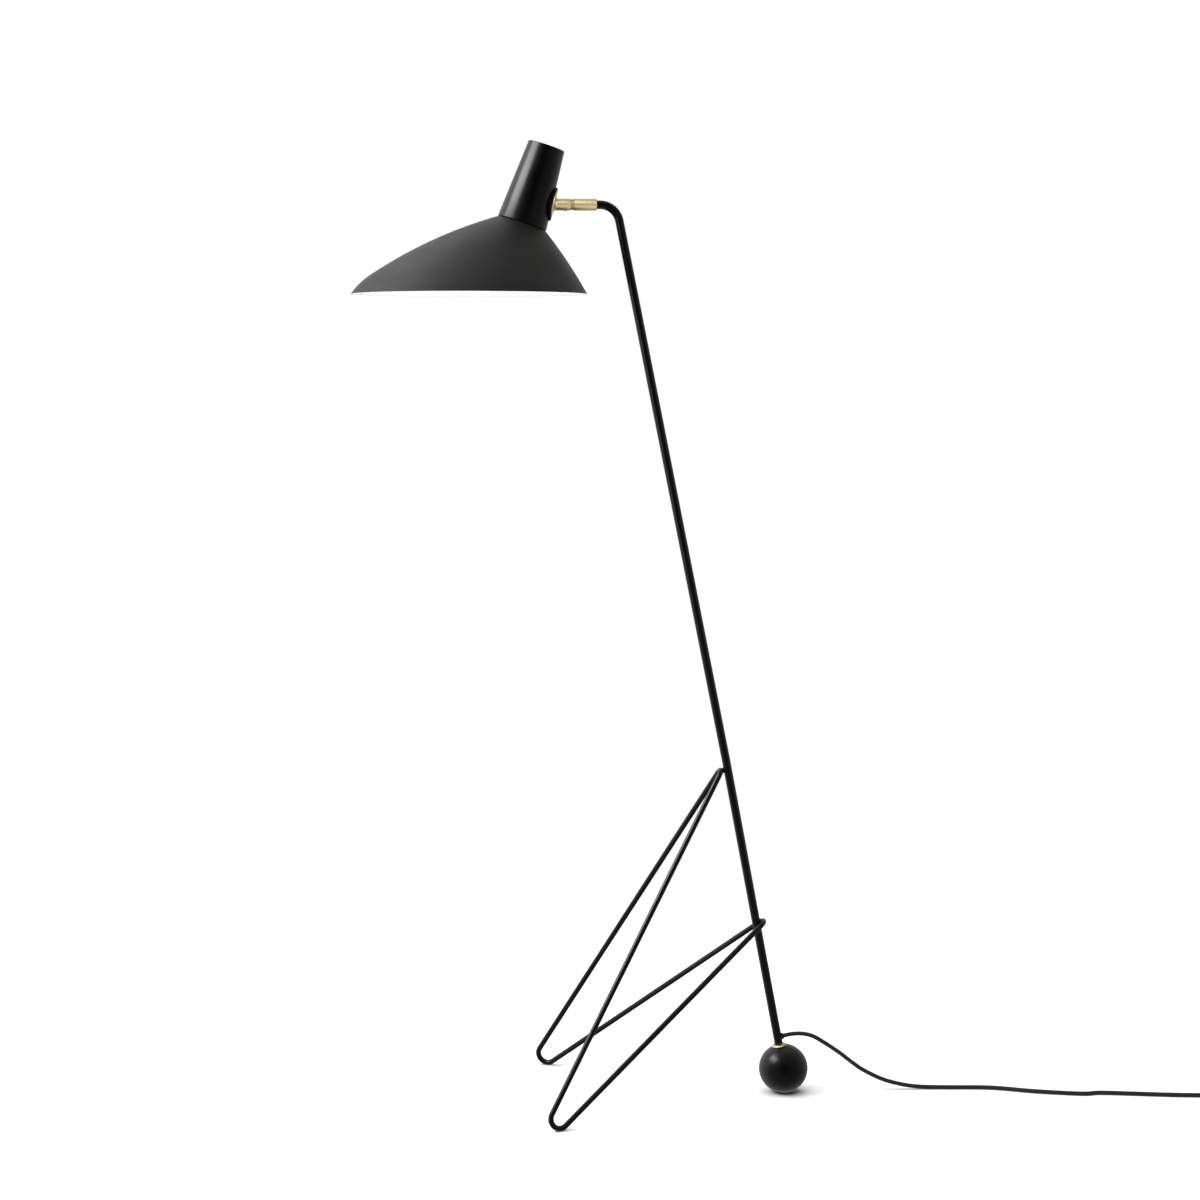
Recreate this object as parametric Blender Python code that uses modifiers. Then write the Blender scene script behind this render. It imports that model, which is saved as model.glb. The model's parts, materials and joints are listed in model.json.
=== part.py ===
"""Reading lamp for the floor: a slanted tube stem on a ball, a leg loop of bent rod that hooks round the
stem, and a spun shade that swivels on a brass arm. Metres, +Z up, +X towards the ball, +Y to the back.
The origin is on the floor, under the middle of the lamp's box without its cord."""

import math

import bmesh
import bpy
from mathutils import Matrix, Vector

GAP = 0.0003  # air left between pieces that touch

# Stand
BALL_R = 0.035
BALL_X = 0.2865
BALL_TOP_FLAT = 0.0332  # height above the ball's centre of the flat under the collar
GLIDE_R = 0.0072
GLIDE_H = 0.0012
STEM_R = 0.006
STEM_BORE_R = 0.0045
STEM_TILT = math.radians(10.71)  # lean of the stem from its foot to the weld
STEM_TILT_ABOVE = math.radians(11.37)  # lean above the weld
WELD_Z = 0.479  # height of the slight bend at the upper weld
STEM_FOOT = 0.0370  # start of the tube, along the stem from the ball's centre
ARM_Z = 1.2623
ARM_BEND_R = 0.0275
ROD_R = 0.0039
UPPER_APEX = (BALL_X - 0.0803, 0, 0.4896)  # corners of the rod's centreline before they are rounded
LOWER_APEX = (BALL_X - 0.0141, 0, 0.2629)
FOOT_CORNER = (BALL_X - 0.3778, 0.1937, -0.03907)
UPPER_BEND_R = 0.0108
LOWER_BEND_R = 0.0126
FOOT_BEND_R = 0.0137

# Cord outlet near the stem's foot
OUTLET_UP = 0.0465  # along the stem from the ball's centre
CORD_R = 0.0030
LEAD_R = 0.0025  # the same cord inside the lamp, without its braid
OUTLET_HOLE_R = 0.0044
OUTLET_MOUTH = 0.0086  # from the stem's axis to the grommet's outer face

# Brass swivel on the arm, by distance along X
SLEEVE_R = 0.0081
SLEEVE_RIGHT = 0.0177
SLEEVE_LEFT = -0.0139
STUB_RIGHT = -0.0185
TUBE_END = -0.0006
SPINDLE_R = 0.0050
SPINDLE_BORE_R = 0.0032
SPINDLE_LEFT = -0.0325
DISC_X = -0.0416  # where the disc's middle meets the arm's axis
DISC_R = 0.0235
DISC_BEND_R = 0.1050  # the disc's sides are bent this much towards wrapping round the neck
DISC_HUB_R = 0.0095  # its flat middle
SADDLE_WIDTH = 0.0340  # the rubber saddle under it is an oval, narrower than the disc across the neck
SCREW_AT = 0.0118  # the stub's set screw, along the arm from the seam
SLEEVE_SCREW_AT = 0.0080  # the sleeve's grub screw, from its right end

# Head, on an axis through the neck that leans towards the stem
HEAD_TILT = math.radians(17.9)
NECK_H = 0.1103
NECK_BASE_R = 0.0350
NECK_TOP_R = 0.0259
NECK_WALL = 0.0012
FLANGE_TOP = 0.0013  # top of the neck's inturned flange, above its lower edge
DISC_UP = 0.0370  # the disc's middle above the neck's lower edge
DISC_BACK = 0.0015  # the disc's back face, out from the neck's side
DISC_MID = 0.0021
SHADE_WALL = 0.0010
SHADE_HOLE_R = 0.0203
SHOULDER_R = 0.0060
FLANK_R = 0.6350
RIM_CURVE_R = 0.1000
FLANK_START = math.radians(33.7)
FLANK_END = math.radians(51.45)
RIM_END = math.radians(79)
RIM_Z = 1.1400  # the shade is cut level here
BULB_R = 0.0300
BULB_WALL = 0.0012
BULB_MIDDLE = -0.0600  # along the head's axis from the neck's lower edge

# Cord on the floor: switch, coil and plug
FLOOR = CORD_R + 0.0001  # height of a lying cord's middle
SWITCH_AT = (0.9720, -0.0822)
SWITCH_TURN = math.radians(-6)
SWITCH_SIZE = (0.0620, 0.0260, 0.0166)
SWITCH_SPLIT = 0.0084
SWITCH_WALL = 0.0018
ROCKER_SIZE = (0.0200, 0.0110)
ROCKER_TILT = math.radians(7)  # at rest it is pressed down at the end towards the lamp
COIL_AT = (1.0670, -0.0480)
COIL_IN_R = 0.0210
COIL_OUT_R = 0.0456
COIL_LOW = 0.0011
COIL_HIGH = 0.0133
PLUG_FRONT = (0.9740, -0.0040)  # middle of the plug's pin face
PLUG_SIZE = (0.0360, 0.0350, 0.0137)
PLUG_Z = 0.0070
PIN_R = 0.0020
PIN_LENGTH = 0.0190
PIN_SPACING = 0.0190
RELIEF_LENGTH = 0.0240

parts = bpy.data.collections.new("floor_lamp")
cutters = bpy.data.collections.new("cutters")
materials = {}


def clear_scene():
    for old in list(bpy.data.objects):
        bpy.data.objects.remove(old, do_unlink=True)
    for collection in (parts, cutters):
        bpy.context.scene.collection.children.link(collection)


def make_material(name, color, roughness, metallic=0.0):
    material = bpy.data.materials.new(name)
    material.use_nodes = True
    shader = material.node_tree.nodes["Principled BSDF"]
    shader.inputs["Base Color"].default_value = (*color, 1.0)
    shader.inputs["Roughness"].default_value = roughness
    shader.inputs["Metallic"].default_value = metallic
    materials[name] = material


def make_materials():
    make_material("black_paint", (0.012, 0.012, 0.013), 0.42)
    make_material("shade_paint", (0.035, 0.035, 0.036), 0.45)
    make_material("brass", (0.78, 0.62, 0.33), 0.28, 1.0)
    make_material("steel", (0.55, 0.55, 0.56), 0.35, 1.0)
    make_material("black_plastic", (0.015, 0.015, 0.015), 0.40)
    make_material("black_rubber", (0.020, 0.020, 0.020), 0.70)
    make_material("white_plastic", (0.75, 0.74, 0.71), 0.45)
    make_material("opal_glass", (0.90, 0.89, 0.86), 0.25)
    make_material("felt", (0.05, 0.05, 0.05), 0.95)
    make_material("textile", (0.015, 0.015, 0.015), 0.80)


# ---- helpers -------------------------------------------------------------------------------------------


def place(name, data, material=None, parent=None, location=(0, 0, 0), rotation=(0, 0, 0)):
    """An object in the parts' collection, or in the cutters' where it has no material."""
    item = bpy.data.objects.new(name, data)
    item.location = location
    item.rotation_euler = rotation
    item.parent = parent
    if material is None:
        cutters.objects.link(item)
        item.hide_render = True
        item.display_type = "WIRE"
    else:
        parts.objects.link(item)
        data.materials.append(materials[material])
    return item


def axis_empty(name, location, rotation=(0, 0, 0), parent=None):
    empty = bpy.data.objects.new(name, None)
    empty.empty_display_size = 0.02
    empty.parent = parent
    if parent:
        bpy.context.view_layer.update()
        empty.matrix_parent_inverse = parent.matrix_world.inverted()
    empty.location = location
    empty.rotation_euler = rotation
    parts.objects.link(empty)
    return empty


def turned(name, profile, material, parent=None, steps=32, closed=False, **where):
    """A solid turned about local Z from (radius, height) points that run down its outer side."""
    points = [(radius, 0, height) for radius, height in profile]
    edges = [(i, i + 1) for i in range(len(points) - 1)]
    if closed:
        edges.append((len(points) - 1, 0))
    mesh = bpy.data.meshes.new(name)
    mesh.from_pydata(points, edges, [])
    item = place(name, mesh, material, parent, **where)
    screw = item.modifiers.new("turn", "SCREW")
    screw.steps = steps
    screw.render_steps = steps
    screw.use_merge_vertices = True
    screw.merge_threshold = 0.00001
    screw.use_smooth_shade = True
    return item


def ring(name, inner, outer, low, high, material, parent=None, steps=32, **where):
    """A plain ring or bush."""
    outline = [(inner, high), (outer, high), (outer, low), (inner, low)]
    return turned(name, outline, material, parent, steps, closed=True, **where)


def drum(name, radius, low, high, material=None, parent=None, steps=32, **where):
    """A plain cylinder."""
    outline = [(0, high), (radius, high), (radius, low), (0, low)]
    return turned(name, outline, material, parent, steps, **where)


def block(name, size, material=None, parent=None, bevel=0.0, segments=2, **where):
    mesh = bpy.data.meshes.new(name)
    shape = bmesh.new()
    bmesh.ops.create_cube(shape, size=1.0)
    bmesh.ops.scale(shape, vec=size, verts=shape.verts)
    shape.to_mesh(mesh)
    shape.free()
    item = place(name, mesh, material, parent, **where)
    if bevel:
        rounding = item.modifiers.new("bevel", "BEVEL")
        rounding.width = bevel
        rounding.segments = segments
    return item


def slab(name, outline, thickness, material, parent=None, **where):
    """A flat outline in local XZ, given its thickness along Y."""
    mesh = bpy.data.meshes.new(name)
    shape = bmesh.new()
    corners = [shape.verts.new((x, thickness / 2, z)) for x, z in outline]
    face = shape.faces.new(corners)
    grown = bmesh.ops.extrude_face_region(shape, geom=[face])["geom"]
    moved = [v for v in grown if isinstance(v, bmesh.types.BMVert)]
    bmesh.ops.translate(shape, verts=moved, vec=(0, -thickness, 0))
    bmesh.ops.recalc_face_normals(shape, faces=shape.faces)
    shape.to_mesh(mesh)
    shape.free()
    return place(name, mesh, material, parent, **where)


def boolean(item, operand, operation="DIFFERENCE"):
    change = item.modifiers.new(operation.lower(), "BOOLEAN")
    change.object = operand
    change.operation = operation


def tube(name, points, radius, material=None, closed=False, resolution=2):
    """A round bar along the points, with filled ends."""
    curve = bpy.data.curves.new(name, "CURVE")
    curve.dimensions = "3D"
    curve.bevel_depth = radius
    curve.bevel_resolution = resolution
    curve.use_fill_caps = True
    line = curve.splines.new("POLY")
    line.points.add(len(points) - 1)
    for target, point in zip(line.points, points):
        target.co = (*point, 1)
    line.use_cyclic_u = closed
    return place(name, curve, material)


def meshed(item):
    """The same bar as a mesh that can be cut, in place of the curve."""
    bpy.context.view_layer.update()
    evaluated = item.evaluated_get(bpy.context.evaluated_depsgraph_get())
    mesh = bpy.data.meshes.new_from_object(evaluated)
    shape = bmesh.new()
    shape.from_mesh(mesh)
    bmesh.ops.remove_doubles(shape, verts=shape.verts, dist=0.000001)
    bmesh.ops.recalc_face_normals(shape, faces=shape.faces)
    shape.to_mesh(mesh)
    shape.free()
    mesh.shade_smooth()
    name = item.name
    copy = bpy.data.objects.new(name + "_mesh", mesh)
    copy.matrix_world = item.matrix_world
    for home in item.users_collection:
        home.objects.link(copy)
    copy.hide_render = item.hide_render
    copy.display_type = item.display_type
    bpy.data.objects.remove(item, do_unlink=True)
    copy.name = name
    return copy


def along(tilt):
    """The direction that leans back from upright, towards -X, by tilt."""
    return Vector((-math.sin(tilt), 0, math.cos(tilt)))


def rounded_path(corners, radii, steps, closed=False):
    """The corners as a line with an arc of its own radius at each; a radius of 0 keeps a corner."""
    corners = [Vector(c) for c in corners]
    line = []
    for i, (corner, radius) in enumerate(zip(corners, radii)):
        if radius == 0:
            line.append(corner)
            continue
        back = (corners[i - 1] - corner).normalized()
        onward = (corners[(i + 1) % len(corners)] - corner).normalized()
        half = back.angle(onward) / 2
        centre = corner + (back + onward).normalized() * radius / math.sin(half)
        start = corner + back * radius / math.tan(half) - centre
        turn = start.rotation_difference(corner + onward * radius / math.tan(half) - centre)
        for k in range(steps + 1):
            part_turn = Matrix.Rotation(turn.angle * k / steps, 3, turn.axis)
            line.append(centre + part_turn @ start)
    return line


def smooth_line(route, spacing):
    """Evenly spaced points on a Catmull-Rom curve through the route's points."""
    route = [Vector(p) for p in route]
    ends = [2 * route[0] - route[1]] + route + [2 * route[-1] - route[-2]]
    fine = []
    for a, b, c, d in zip(ends, ends[1:], ends[2:], ends[3:]):
        for k in range(24):
            t = k / 24
            fine.append(
                0.5 * (2 * b + (c - a) * t + (2 * a - 5 * b + 4 * c - d) * t**2
                       + (3 * b - a - 3 * c + d) * t**3)
            )
    fine.append(route[-1])
    lengths = [0.0]
    for p, q in zip(fine, fine[1:]):
        lengths.append(lengths[-1] + (q - p).length)
    count = max(2, round(lengths[-1] / spacing))
    line, i = [], 0
    for k in range(count + 1):
        target = lengths[-1] * k / count
        while i < len(fine) - 2 and lengths[i + 1] < target:
            i += 1
        share = (target - lengths[i]) / (lengths[i + 1] - lengths[i])
        line.append(fine[i].lerp(fine[i + 1], share))
    return line


# ---- stand ---------------------------------------------------------------------------------------------


def stem_path():
    """Corners of the stem's centreline from its foot to the end in the brass sleeve."""
    foot = Vector((BALL_X, 0, BALL_R)) + along(STEM_TILT) * STEM_FOOT
    bend = foot + along(STEM_TILT) * ((WELD_Z - foot.z) / math.cos(STEM_TILT))
    top = bend + along(STEM_TILT_ABOVE) * ((ARM_Z - bend.z) / math.cos(STEM_TILT_ABOVE))
    return foot, bend, top, Vector((TUBE_END, 0, ARM_Z))


def build_stem(stem_axis):
    foot, bend, top, end = stem_path()
    line = rounded_path((foot, bend, top, end), (0, 0, ARM_BEND_R, 0), 12)
    stem = meshed(tube("stem_tube", line, STEM_R, "black_paint", resolution=5))
    beyond = 0.002
    line[0] = line[0] - along(STEM_TILT) * beyond
    line[-1] = line[-1] - Vector((beyond, 0, 0))
    boolean(stem, meshed(tube("stem_bore", line, STEM_BORE_R, resolution=3)))
    outlet = drum("outlet_hole", OUTLET_HOLE_R, 0.0015, 0.012, None, stem_axis, 20,
                  location=(0, 0, OUTLET_UP), rotation=(0, math.radians(90), 0))
    boolean(stem, outlet)


def build_leg_frame():
    """One closed loop of rod: its upper bend meets the stem's left side and its lower bend hooks round it."""
    x, y, z = FOOT_CORNER
    corners = (UPPER_APEX, (x, y, z), LOWER_APEX, (x, -y, z))
    radii = (UPPER_BEND_R, FOOT_BEND_R, LOWER_BEND_R, FOOT_BEND_R)
    loop = rounded_path(corners, radii, 10, closed=True)
    frame = meshed(tube("leg_frame", loop, ROD_R, "black_paint", closed=True, resolution=3))
    upper_tip = max(loop, key=lambda p: p.z)
    lower_tip = max(loop, key=lambda p: p.x)
    for name, tip, side in (("upper_weld", upper_tip, 1), ("lower_weld", lower_tip, -1)):
        shape = bmesh.new()
        bmesh.ops.create_uvsphere(shape, u_segments=12, v_segments=8, radius=1.0)
        bmesh.ops.scale(shape, vec=(0.0052, 0.0038, 0.0034), verts=shape.verts)
        mesh = bpy.data.meshes.new(name)
        shape.to_mesh(mesh)
        shape.free()
        weld = place(name, mesh, location=tip + Vector((side * 0.0032, 0, 0)))
        boolean(frame, weld, "UNION")
    foot, bend, top, _ = stem_path()
    clear = tube("stem_clearance", (foot, bend, top), STEM_R + GAP, resolution=8)
    boolean(frame, meshed(clear))


def build_ball_foot(stem_axis):
    mesh = bpy.data.meshes.new("ball_foot")
    shape = bmesh.new()
    bmesh.ops.create_uvsphere(shape, u_segments=36, v_segments=24, radius=BALL_R)
    shape.to_mesh(mesh)
    shape.free()
    mesh.shade_smooth()
    ball = place("ball_foot", mesh, "black_paint", location=(BALL_X, 0, BALL_R))
    under = block("floor_flat", (0.06, 0.06, 0.02), location=(BALL_X, 0, GLIDE_H + GAP - 0.01))
    over = block("collar_flat", (0.06, 0.06, 0.02), None, stem_axis, location=(0, 0, BALL_TOP_FLAT + 0.01))
    hole = drum("stud_hole", 0.0034, 0.0120, 0.0400, None, stem_axis, 16)
    for cutter in (under, over, hole):
        boolean(ball, cutter)
    drum("ball_glide", GLIDE_R, 0, GLIDE_H, "felt", location=(BALL_X, 0, 0))
    dome = [(0.0034, 0.0366), (0.0066, 0.0366), (0.0086, 0.0362), (0.0102, 0.0353), (0.0110, 0.0341),
            (0.0110, BALL_TOP_FLAT + GAP), (0.0034, BALL_TOP_FLAT + GAP)]
    turned("ball_collar", dome, "brass", stem_axis, closed=True)
    drum("ball_stud", 0.0030, 0.0130, 0.0420, "steel", stem_axis, 16)
    ring("stem_insert", 0.0033, 0.0041, STEM_FOOT + GAP, 0.0420, "steel", stem_axis, 20)


def build_outlet(stem_axis):
    """The moulded grommet that the cord leaves through, with its axis square to the stem."""
    mouth = OUTLET_MOUTH
    bore = CORD_R + 0.0003
    outline = [(bore, mouth), (0.0039, mouth), (0.0046, mouth - 0.0007), (0.0048, mouth - 0.0016),
               (0.0048, STEM_R + 0.0004), (0.0041, STEM_R + 0.0004), (0.0041, STEM_BORE_R + 0.0002),
               (bore, STEM_BORE_R + 0.0002)]
    turned("cord_grommet", outline, "black_rubber", stem_axis, 24, closed=True,
           location=(0, 0, OUTLET_UP), rotation=(0, math.radians(90), 0))


# ---- swivel --------------------------------------------------------------------------------------------


def build_arm_joint(arm_axis, head_pivot):
    """Brass pieces on the arm's axis. arm_axis points local Z along -X, from the swivel's seam."""
    seam = SLEEVE_LEFT
    right, left = seam - SLEEVE_RIGHT, 0.0
    step = seam - TUBE_END
    sleeve = [(SPINDLE_R + GAP, left), (SLEEVE_R - 0.0003, left), (SLEEVE_R, left - 0.0003),
              (SLEEVE_R, right + 0.0008), (SLEEVE_R - 0.0008, right), (STEM_R + GAP, right),
              (STEM_R + GAP, step + GAP), (SPINDLE_R + GAP, step + GAP)]
    sleeve = turned("swivel_sleeve", sleeve, "brass", arm_axis, closed=True)
    screw_at = (0, 0, right + SLEEVE_SCREW_AT)
    fixing = drum("sleeve_screw_hole", 0.0016, 0.0040, 0.0100, None, arm_axis, 12,
                  location=screw_at, rotation=(0, math.radians(-90), 0))
    boolean(sleeve, fixing)
    drum("sleeve_grub_screw", 0.0013, STEM_R + 0.0002, SLEEVE_R - 0.0003, "steel", arm_axis, 12,
         location=screw_at, rotation=(0, math.radians(-90), 0))
    stub_start = seam - STUB_RIGHT
    ring("friction_bush", SPINDLE_R + GAP, 0.0075, GAP, stub_start - GAP, "brass", arm_axis)
    ring("swivel_spindle", SPINDLE_BORE_R, SPINDLE_R, step + 0.0008, seam - SPINDLE_LEFT, "steel", arm_axis, 24)
    build_flange(head_pivot, stub_start)


def bend_round_neck(item):
    """Bends a piece on the disc's axis so that its sides, along Y, drop towards the neck."""
    for vertex in item.data.vertices:
        vertex.co.z -= max(0, vertex.co.y**2 - DISC_HUB_R**2) / (2 * DISC_BEND_R)


def build_flange(head_pivot, stub_start):
    """The stub that turns on the spindle, flaring into a thin disc that lies along the neck's side and is
    bent a little way round it."""
    face = axis_empty("disc_face", (DISC_X, 0, ARM_Z), (0, math.radians(90) + side_lean(), 0), head_pivot)
    back, front = DISC_BACK - DISC_MID, DISC_BACK - DISC_MID + 0.0010
    flare = [(0, 0.0055), (SLEEVE_R + 0.0001, 0.0055), (0.0086, 0.0040), (0.0094, 0.0026),
             (0.0109, 0.0016), (0.0135, 0.0010), (0.0190, 0.0007), (DISC_R - 0.0004, front),
             (DISC_R, front - 0.0004), (DISC_R - 0.0003, back), (0.0190, back), (0.0140, back), (0.0090, back),
             (0, back)]
    flange = meshed(turned("swivel_flange", flare, "brass", face, 48))
    bend_round_neck(flange)
    reach = SLEEVE_LEFT - DISC_X - 0.0022
    stub = drum("flange_stub", SLEEVE_R, stub_start, reach, None, head_pivot)
    boolean(flange, stub, "UNION")
    flange = meshed(flange)
    bore = drum("flange_bore", SPINDLE_R + GAP, stub_start - 0.001, SLEEVE_LEFT - SPINDLE_LEFT + 0.0006, None,
                head_pivot, 24)
    lead_way = drum("flange_lead_way", 0.0036, stub_start, reach + 0.0010, None, head_pivot, 16)
    seat = drum("flange_nipple_seat", SPINDLE_R + GAP, back - 0.002, 0.0020, None, face, 24)
    screw_hole = drum("flange_screw_hole", 0.0018, 0.0030, 0.0120, None, head_pivot, 12,
                      location=(0, 0, SCREW_AT), rotation=(0, math.radians(-90), 0))
    for cutter in (bore, lead_way, seat, screw_hole):
        boolean(flange, cutter)
        flange = meshed(flange)
    drum("flange_set_screw", 0.0015, SPINDLE_R + 0.0002, SLEEVE_R + 0.0009, "steel", head_pivot, 12,
         location=(0, 0, SCREW_AT), rotation=(0, math.radians(-90), 0))
    build_neck_fixing(face)


def side_lean():
    """How far the neck's right side leans from upright, towards +X at its top."""
    taper = math.atan((NECK_BASE_R - NECK_TOP_R) / NECK_H)
    return HEAD_TILT - taper


def neck_radius(height):
    return NECK_BASE_R - (NECK_BASE_R - NECK_TOP_R) * height / NECK_H


def neck_cone(name, grow):
    """The neck's outer cone, larger or smaller by grow, as a cutter."""
    low, high = -0.02, NECK_H
    outline = [(0, high), (neck_radius(high) + grow, high), (neck_radius(low) + grow, low), (0, low)]
    return turned(name, outline, None, head_frame, 64)


def build_neck_fixing(face):
    """The hollow nipple through the neck's wall, with its oval saddle, washer and nut.
    Local Z of face points out of the neck, so depths into it are negative."""
    surface = -DISC_MID
    inner = surface - NECK_WALL
    top, bottom, edge = DISC_BACK - DISC_MID - GAP, surface - 0.0120, DISC_R - 0.0002
    outline = [(SPINDLE_R + GAP, top), (0.0100, top), (0.0150, top), (0.0200, top), (edge, top), (edge, bottom),
               (SPINDLE_R + GAP, bottom)]
    saddle = meshed(turned("saddle_spacer", outline, "black_rubber", face, 48, closed=True))
    for vertex in saddle.data.vertices:
        radius = math.hypot(vertex.co.x, vertex.co.y)
        share = (radius - SPINDLE_R - GAP) / (edge - SPINDLE_R - GAP)
        vertex.co.y *= 1 + share * (SADDLE_WIDTH / 2 / edge - 1)
    bend_round_neck(saddle)
    boolean(saddle, neck_cone("neck_outside", GAP))
    washer = ring("inner_saddle_washer", SPINDLE_R + GAP, 0.0085, inner - 0.0019, inner + 0.004, "steel", face)
    boolean(washer, neck_cone("neck_inside", -NECK_WALL - GAP), "INTERSECT")
    ring("neck_nipple", SPINDLE_BORE_R, SPINDLE_R, inner - 0.0070, 0.0017, "steel", face, 24)
    nut = drum("nipple_nut", 0.0080, inner - 0.0054, inner - 0.0022, "steel", face, 6)
    nut.modifiers["turn"].use_smooth_shade = False
    boolean(nut, drum("nut_hole", SPINDLE_R + GAP, inner - 0.006, inner - 0.002, None, face, 24))


# ---- head ----------------------------------------------------------------------------------------------


def arc_on(start, radius, first, last, steps):
    """Points on an arc that goes on from start, heading first and then last below level."""
    centre = (start[0] - radius * math.sin(first), start[1] - radius * math.cos(first))
    angles = [first + (last - first) * k / steps for k in range(1, steps + 1)]
    return [(centre[0] + radius * math.sin(a), centre[1] + radius * math.cos(a)) for a in angles]


def shade_line(inset):
    """The shade's profile: a flat top, a small shoulder, a long easy flank and a tighter curve at the rim.
    inset moves it square to itself, towards the inside."""
    shoulder_start = (NECK_BASE_R - 0.0012 - SHOULDER_R * math.sin(FLANK_START), -inset)
    line = [(SHADE_HOLE_R, -inset), shoulder_start]
    for radius, first, last, steps in ((SHOULDER_R, 0, FLANK_START, 3), (FLANK_R, FLANK_START, FLANK_END, 8),
                                       (RIM_CURVE_R, FLANK_END, RIM_END, 4)):
        line += arc_on(line[-1], radius - inset, first, last, steps)
    return line


def build_shade():
    profile = shade_line(0) + shade_line(SHADE_WALL)[::-1]
    shade = turned("shade", profile, "shade_paint", head_frame, 56, closed=True)
    below = block("below_rim", (0.8, 0.8, 0.2), location=(0, 0, RIM_Z - 0.1))
    boolean(shade, below)


def build_neck():
    """A closed cup whose inturned flange is clamped with the shade against the lampholder's shoulder."""
    low = -0.0005
    edge = 0.0010
    inside = neck_radius(low) - NECK_WALL
    shell = [(0, NECK_H), (NECK_TOP_R - edge, NECK_H), (NECK_TOP_R - edge * 0.25, NECK_H - edge * 0.3),
             (NECK_TOP_R, NECK_H - edge), (neck_radius(low), low), (inside, low), (inside, GAP),
             (SHADE_HOLE_R, GAP), (SHADE_HOLE_R, FLANGE_TOP), (inside, FLANGE_TOP),
             (NECK_TOP_R - NECK_WALL, NECK_H - NECK_WALL), (0, NECK_H - NECK_WALL)]
    neck = turned("neck_housing", shell, "black_paint", head_frame, 48)
    side_hole = drum("neck_side_hole", SPINDLE_R + GAP, -0.012, 0.004, None, bpy.data.objects["disc_face"], 24)
    boolean(neck, side_hole)


def build_lampholder():
    """The threaded lampholder on the neck's axis, with the ring that clamps the shade to its shoulder."""
    seat = FLANGE_TOP + GAP
    skirt = [(0.0140, 0.0230), (0.0188, 0.0230), (0.0188, seat + 0.0035), (0.0230, seat + 0.0035),
             (0.0230, seat), (0.0196, seat), (0.0196, -0.0220), (0.0184, -0.0240), (0.0163, -0.0240),
             (0.0150, -0.0190), (0.0150, 0.0020), (0.0140, 0.0020)]
    turned("lampholder_skirt", skirt, "white_plastic", head_frame, closed=True)
    cap = [(0.0029, 0.0305), (0.0100, 0.0300), (0.0160, 0.0275), (0.0186, 0.0240), (0.0188, 0.0233),
           (0.0029, 0.0233)]
    turned("lampholder_cap", cap, "white_plastic", head_frame, closed=True)
    ring("lead_grip", 0.0029, 0.0058, 0.0308, 0.0352, "black_plastic", head_frame, 20)
    ring("screw_shell", 0.0137, 0.0147, -0.0148, 0.0015, "brass", head_frame)
    drum("centre_contact", 0.0035, 0.0128, 0.0205, "brass", head_frame, 16)
    clamp = [(0.0199, -SHADE_WALL - GAP), (0.0270, -SHADE_WALL - GAP), (0.0275, -0.0020), (0.0275, -0.0042),
             (0.0225, -0.0060), (0.0225, -0.0090), (0.0199, -0.0090)]
    turned("shade_ring", clamp, "white_plastic", head_frame, closed=True)


def build_bulb():
    """A round lamp bulb: a thin cap in the screw shell and an opal envelope that is open towards it."""
    cap = [(0, 0.0120), (0.0050, 0.0120), (0.0095, 0.0085), (0.0132, 0.0070), (0.0132, -0.0150),
           (0.0122, -0.0150), (0.0122, 0.0060), (0.0088, 0.0075), (0.0045, 0.0110), (0, 0.0110)]
    turned("bulb_base", cap, "brass", head_frame, 24)
    envelope = []
    for radius, throat in ((BULB_R, 0.0138), (BULB_R - BULB_WALL, 0.0138 - BULB_WALL)):
        waist = [(throat, -0.0153), (throat + 0.0004, -0.0200), (throat + 0.0032, -0.0300)]
        angles = [math.radians(a) for a in range(50, 181, 13)]
        globe = [(radius * math.sin(a), BULB_MIDDLE + radius * math.cos(a)) for a in angles]
        envelope.append(waist + globe)
    outside, inside = envelope
    turned("bulb_glass", outside + inside[::-1], "opal_glass", head_frame, 32, closed=True)


def build_leads():
    """The supply lead inside the lamp: up the stem to the spindle's end, then on to the lampholder."""
    _, bend, top, end = stem_path()
    base = Vector((BALL_X, 0, BALL_R))
    up = along(STEM_TILT)
    side = Vector((math.cos(STEM_TILT), 0, math.sin(STEM_TILT)))
    turn_r = 0.0042
    outlet = base + up * OUTLET_UP
    line = []
    for k in range(7):
        angle = math.radians(90) * k / 6
        line.append(outlet + side * (0.0060 - turn_r * math.sin(angle)) + up * turn_r * (1 - math.cos(angle)))
    line.append(outlet + up * 0.030)
    line.append(bend)
    line += rounded_path((bend, top, end), (0, ARM_BEND_R, 0), 8)[1:-1]
    line.append(Vector((SPINDLE_LEFT, 0, ARM_Z)))
    tube("stem_lead", line, LEAD_R, "textile", resolution=2)
    face = bpy.data.objects["disc_face"]
    bpy.context.view_layer.update()
    out = face.matrix_world.to_3x3() @ Vector((0, 0, 1))
    disc = face.matrix_world.translation
    in_head = head_frame.matrix_world
    lead = [Vector((SPINDLE_LEFT - 2 * GAP, 0, ARM_Z)), disc + Vector((0.0022, 0, 0)), disc - out * 0.002,
            disc - out * 0.0110, disc - out * 0.0140]
    slack = [(0.0120, -0.0016, 0.0380), (0.0040, -0.0085, 0.0445), (-0.0055, -0.0130, 0.0560),
             (-0.0090, -0.0090, 0.0680), (-0.0060, 0.0000, 0.0745), (-0.0010, 0.0040, 0.0680),
             (0, 0.0015, 0.0560), (0, 0, 0.0460), (0, 0, 0.0400), (0, 0, 0.0250)]
    route = lead[2:] + [in_head @ Vector(point) for point in slack]
    tube("head_lead", lead[:2] + smooth_line(route, 0.0045), LEAD_R, "textile", resolution=2)


# ---- cord ----------------------------------------------------------------------------------------------


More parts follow.
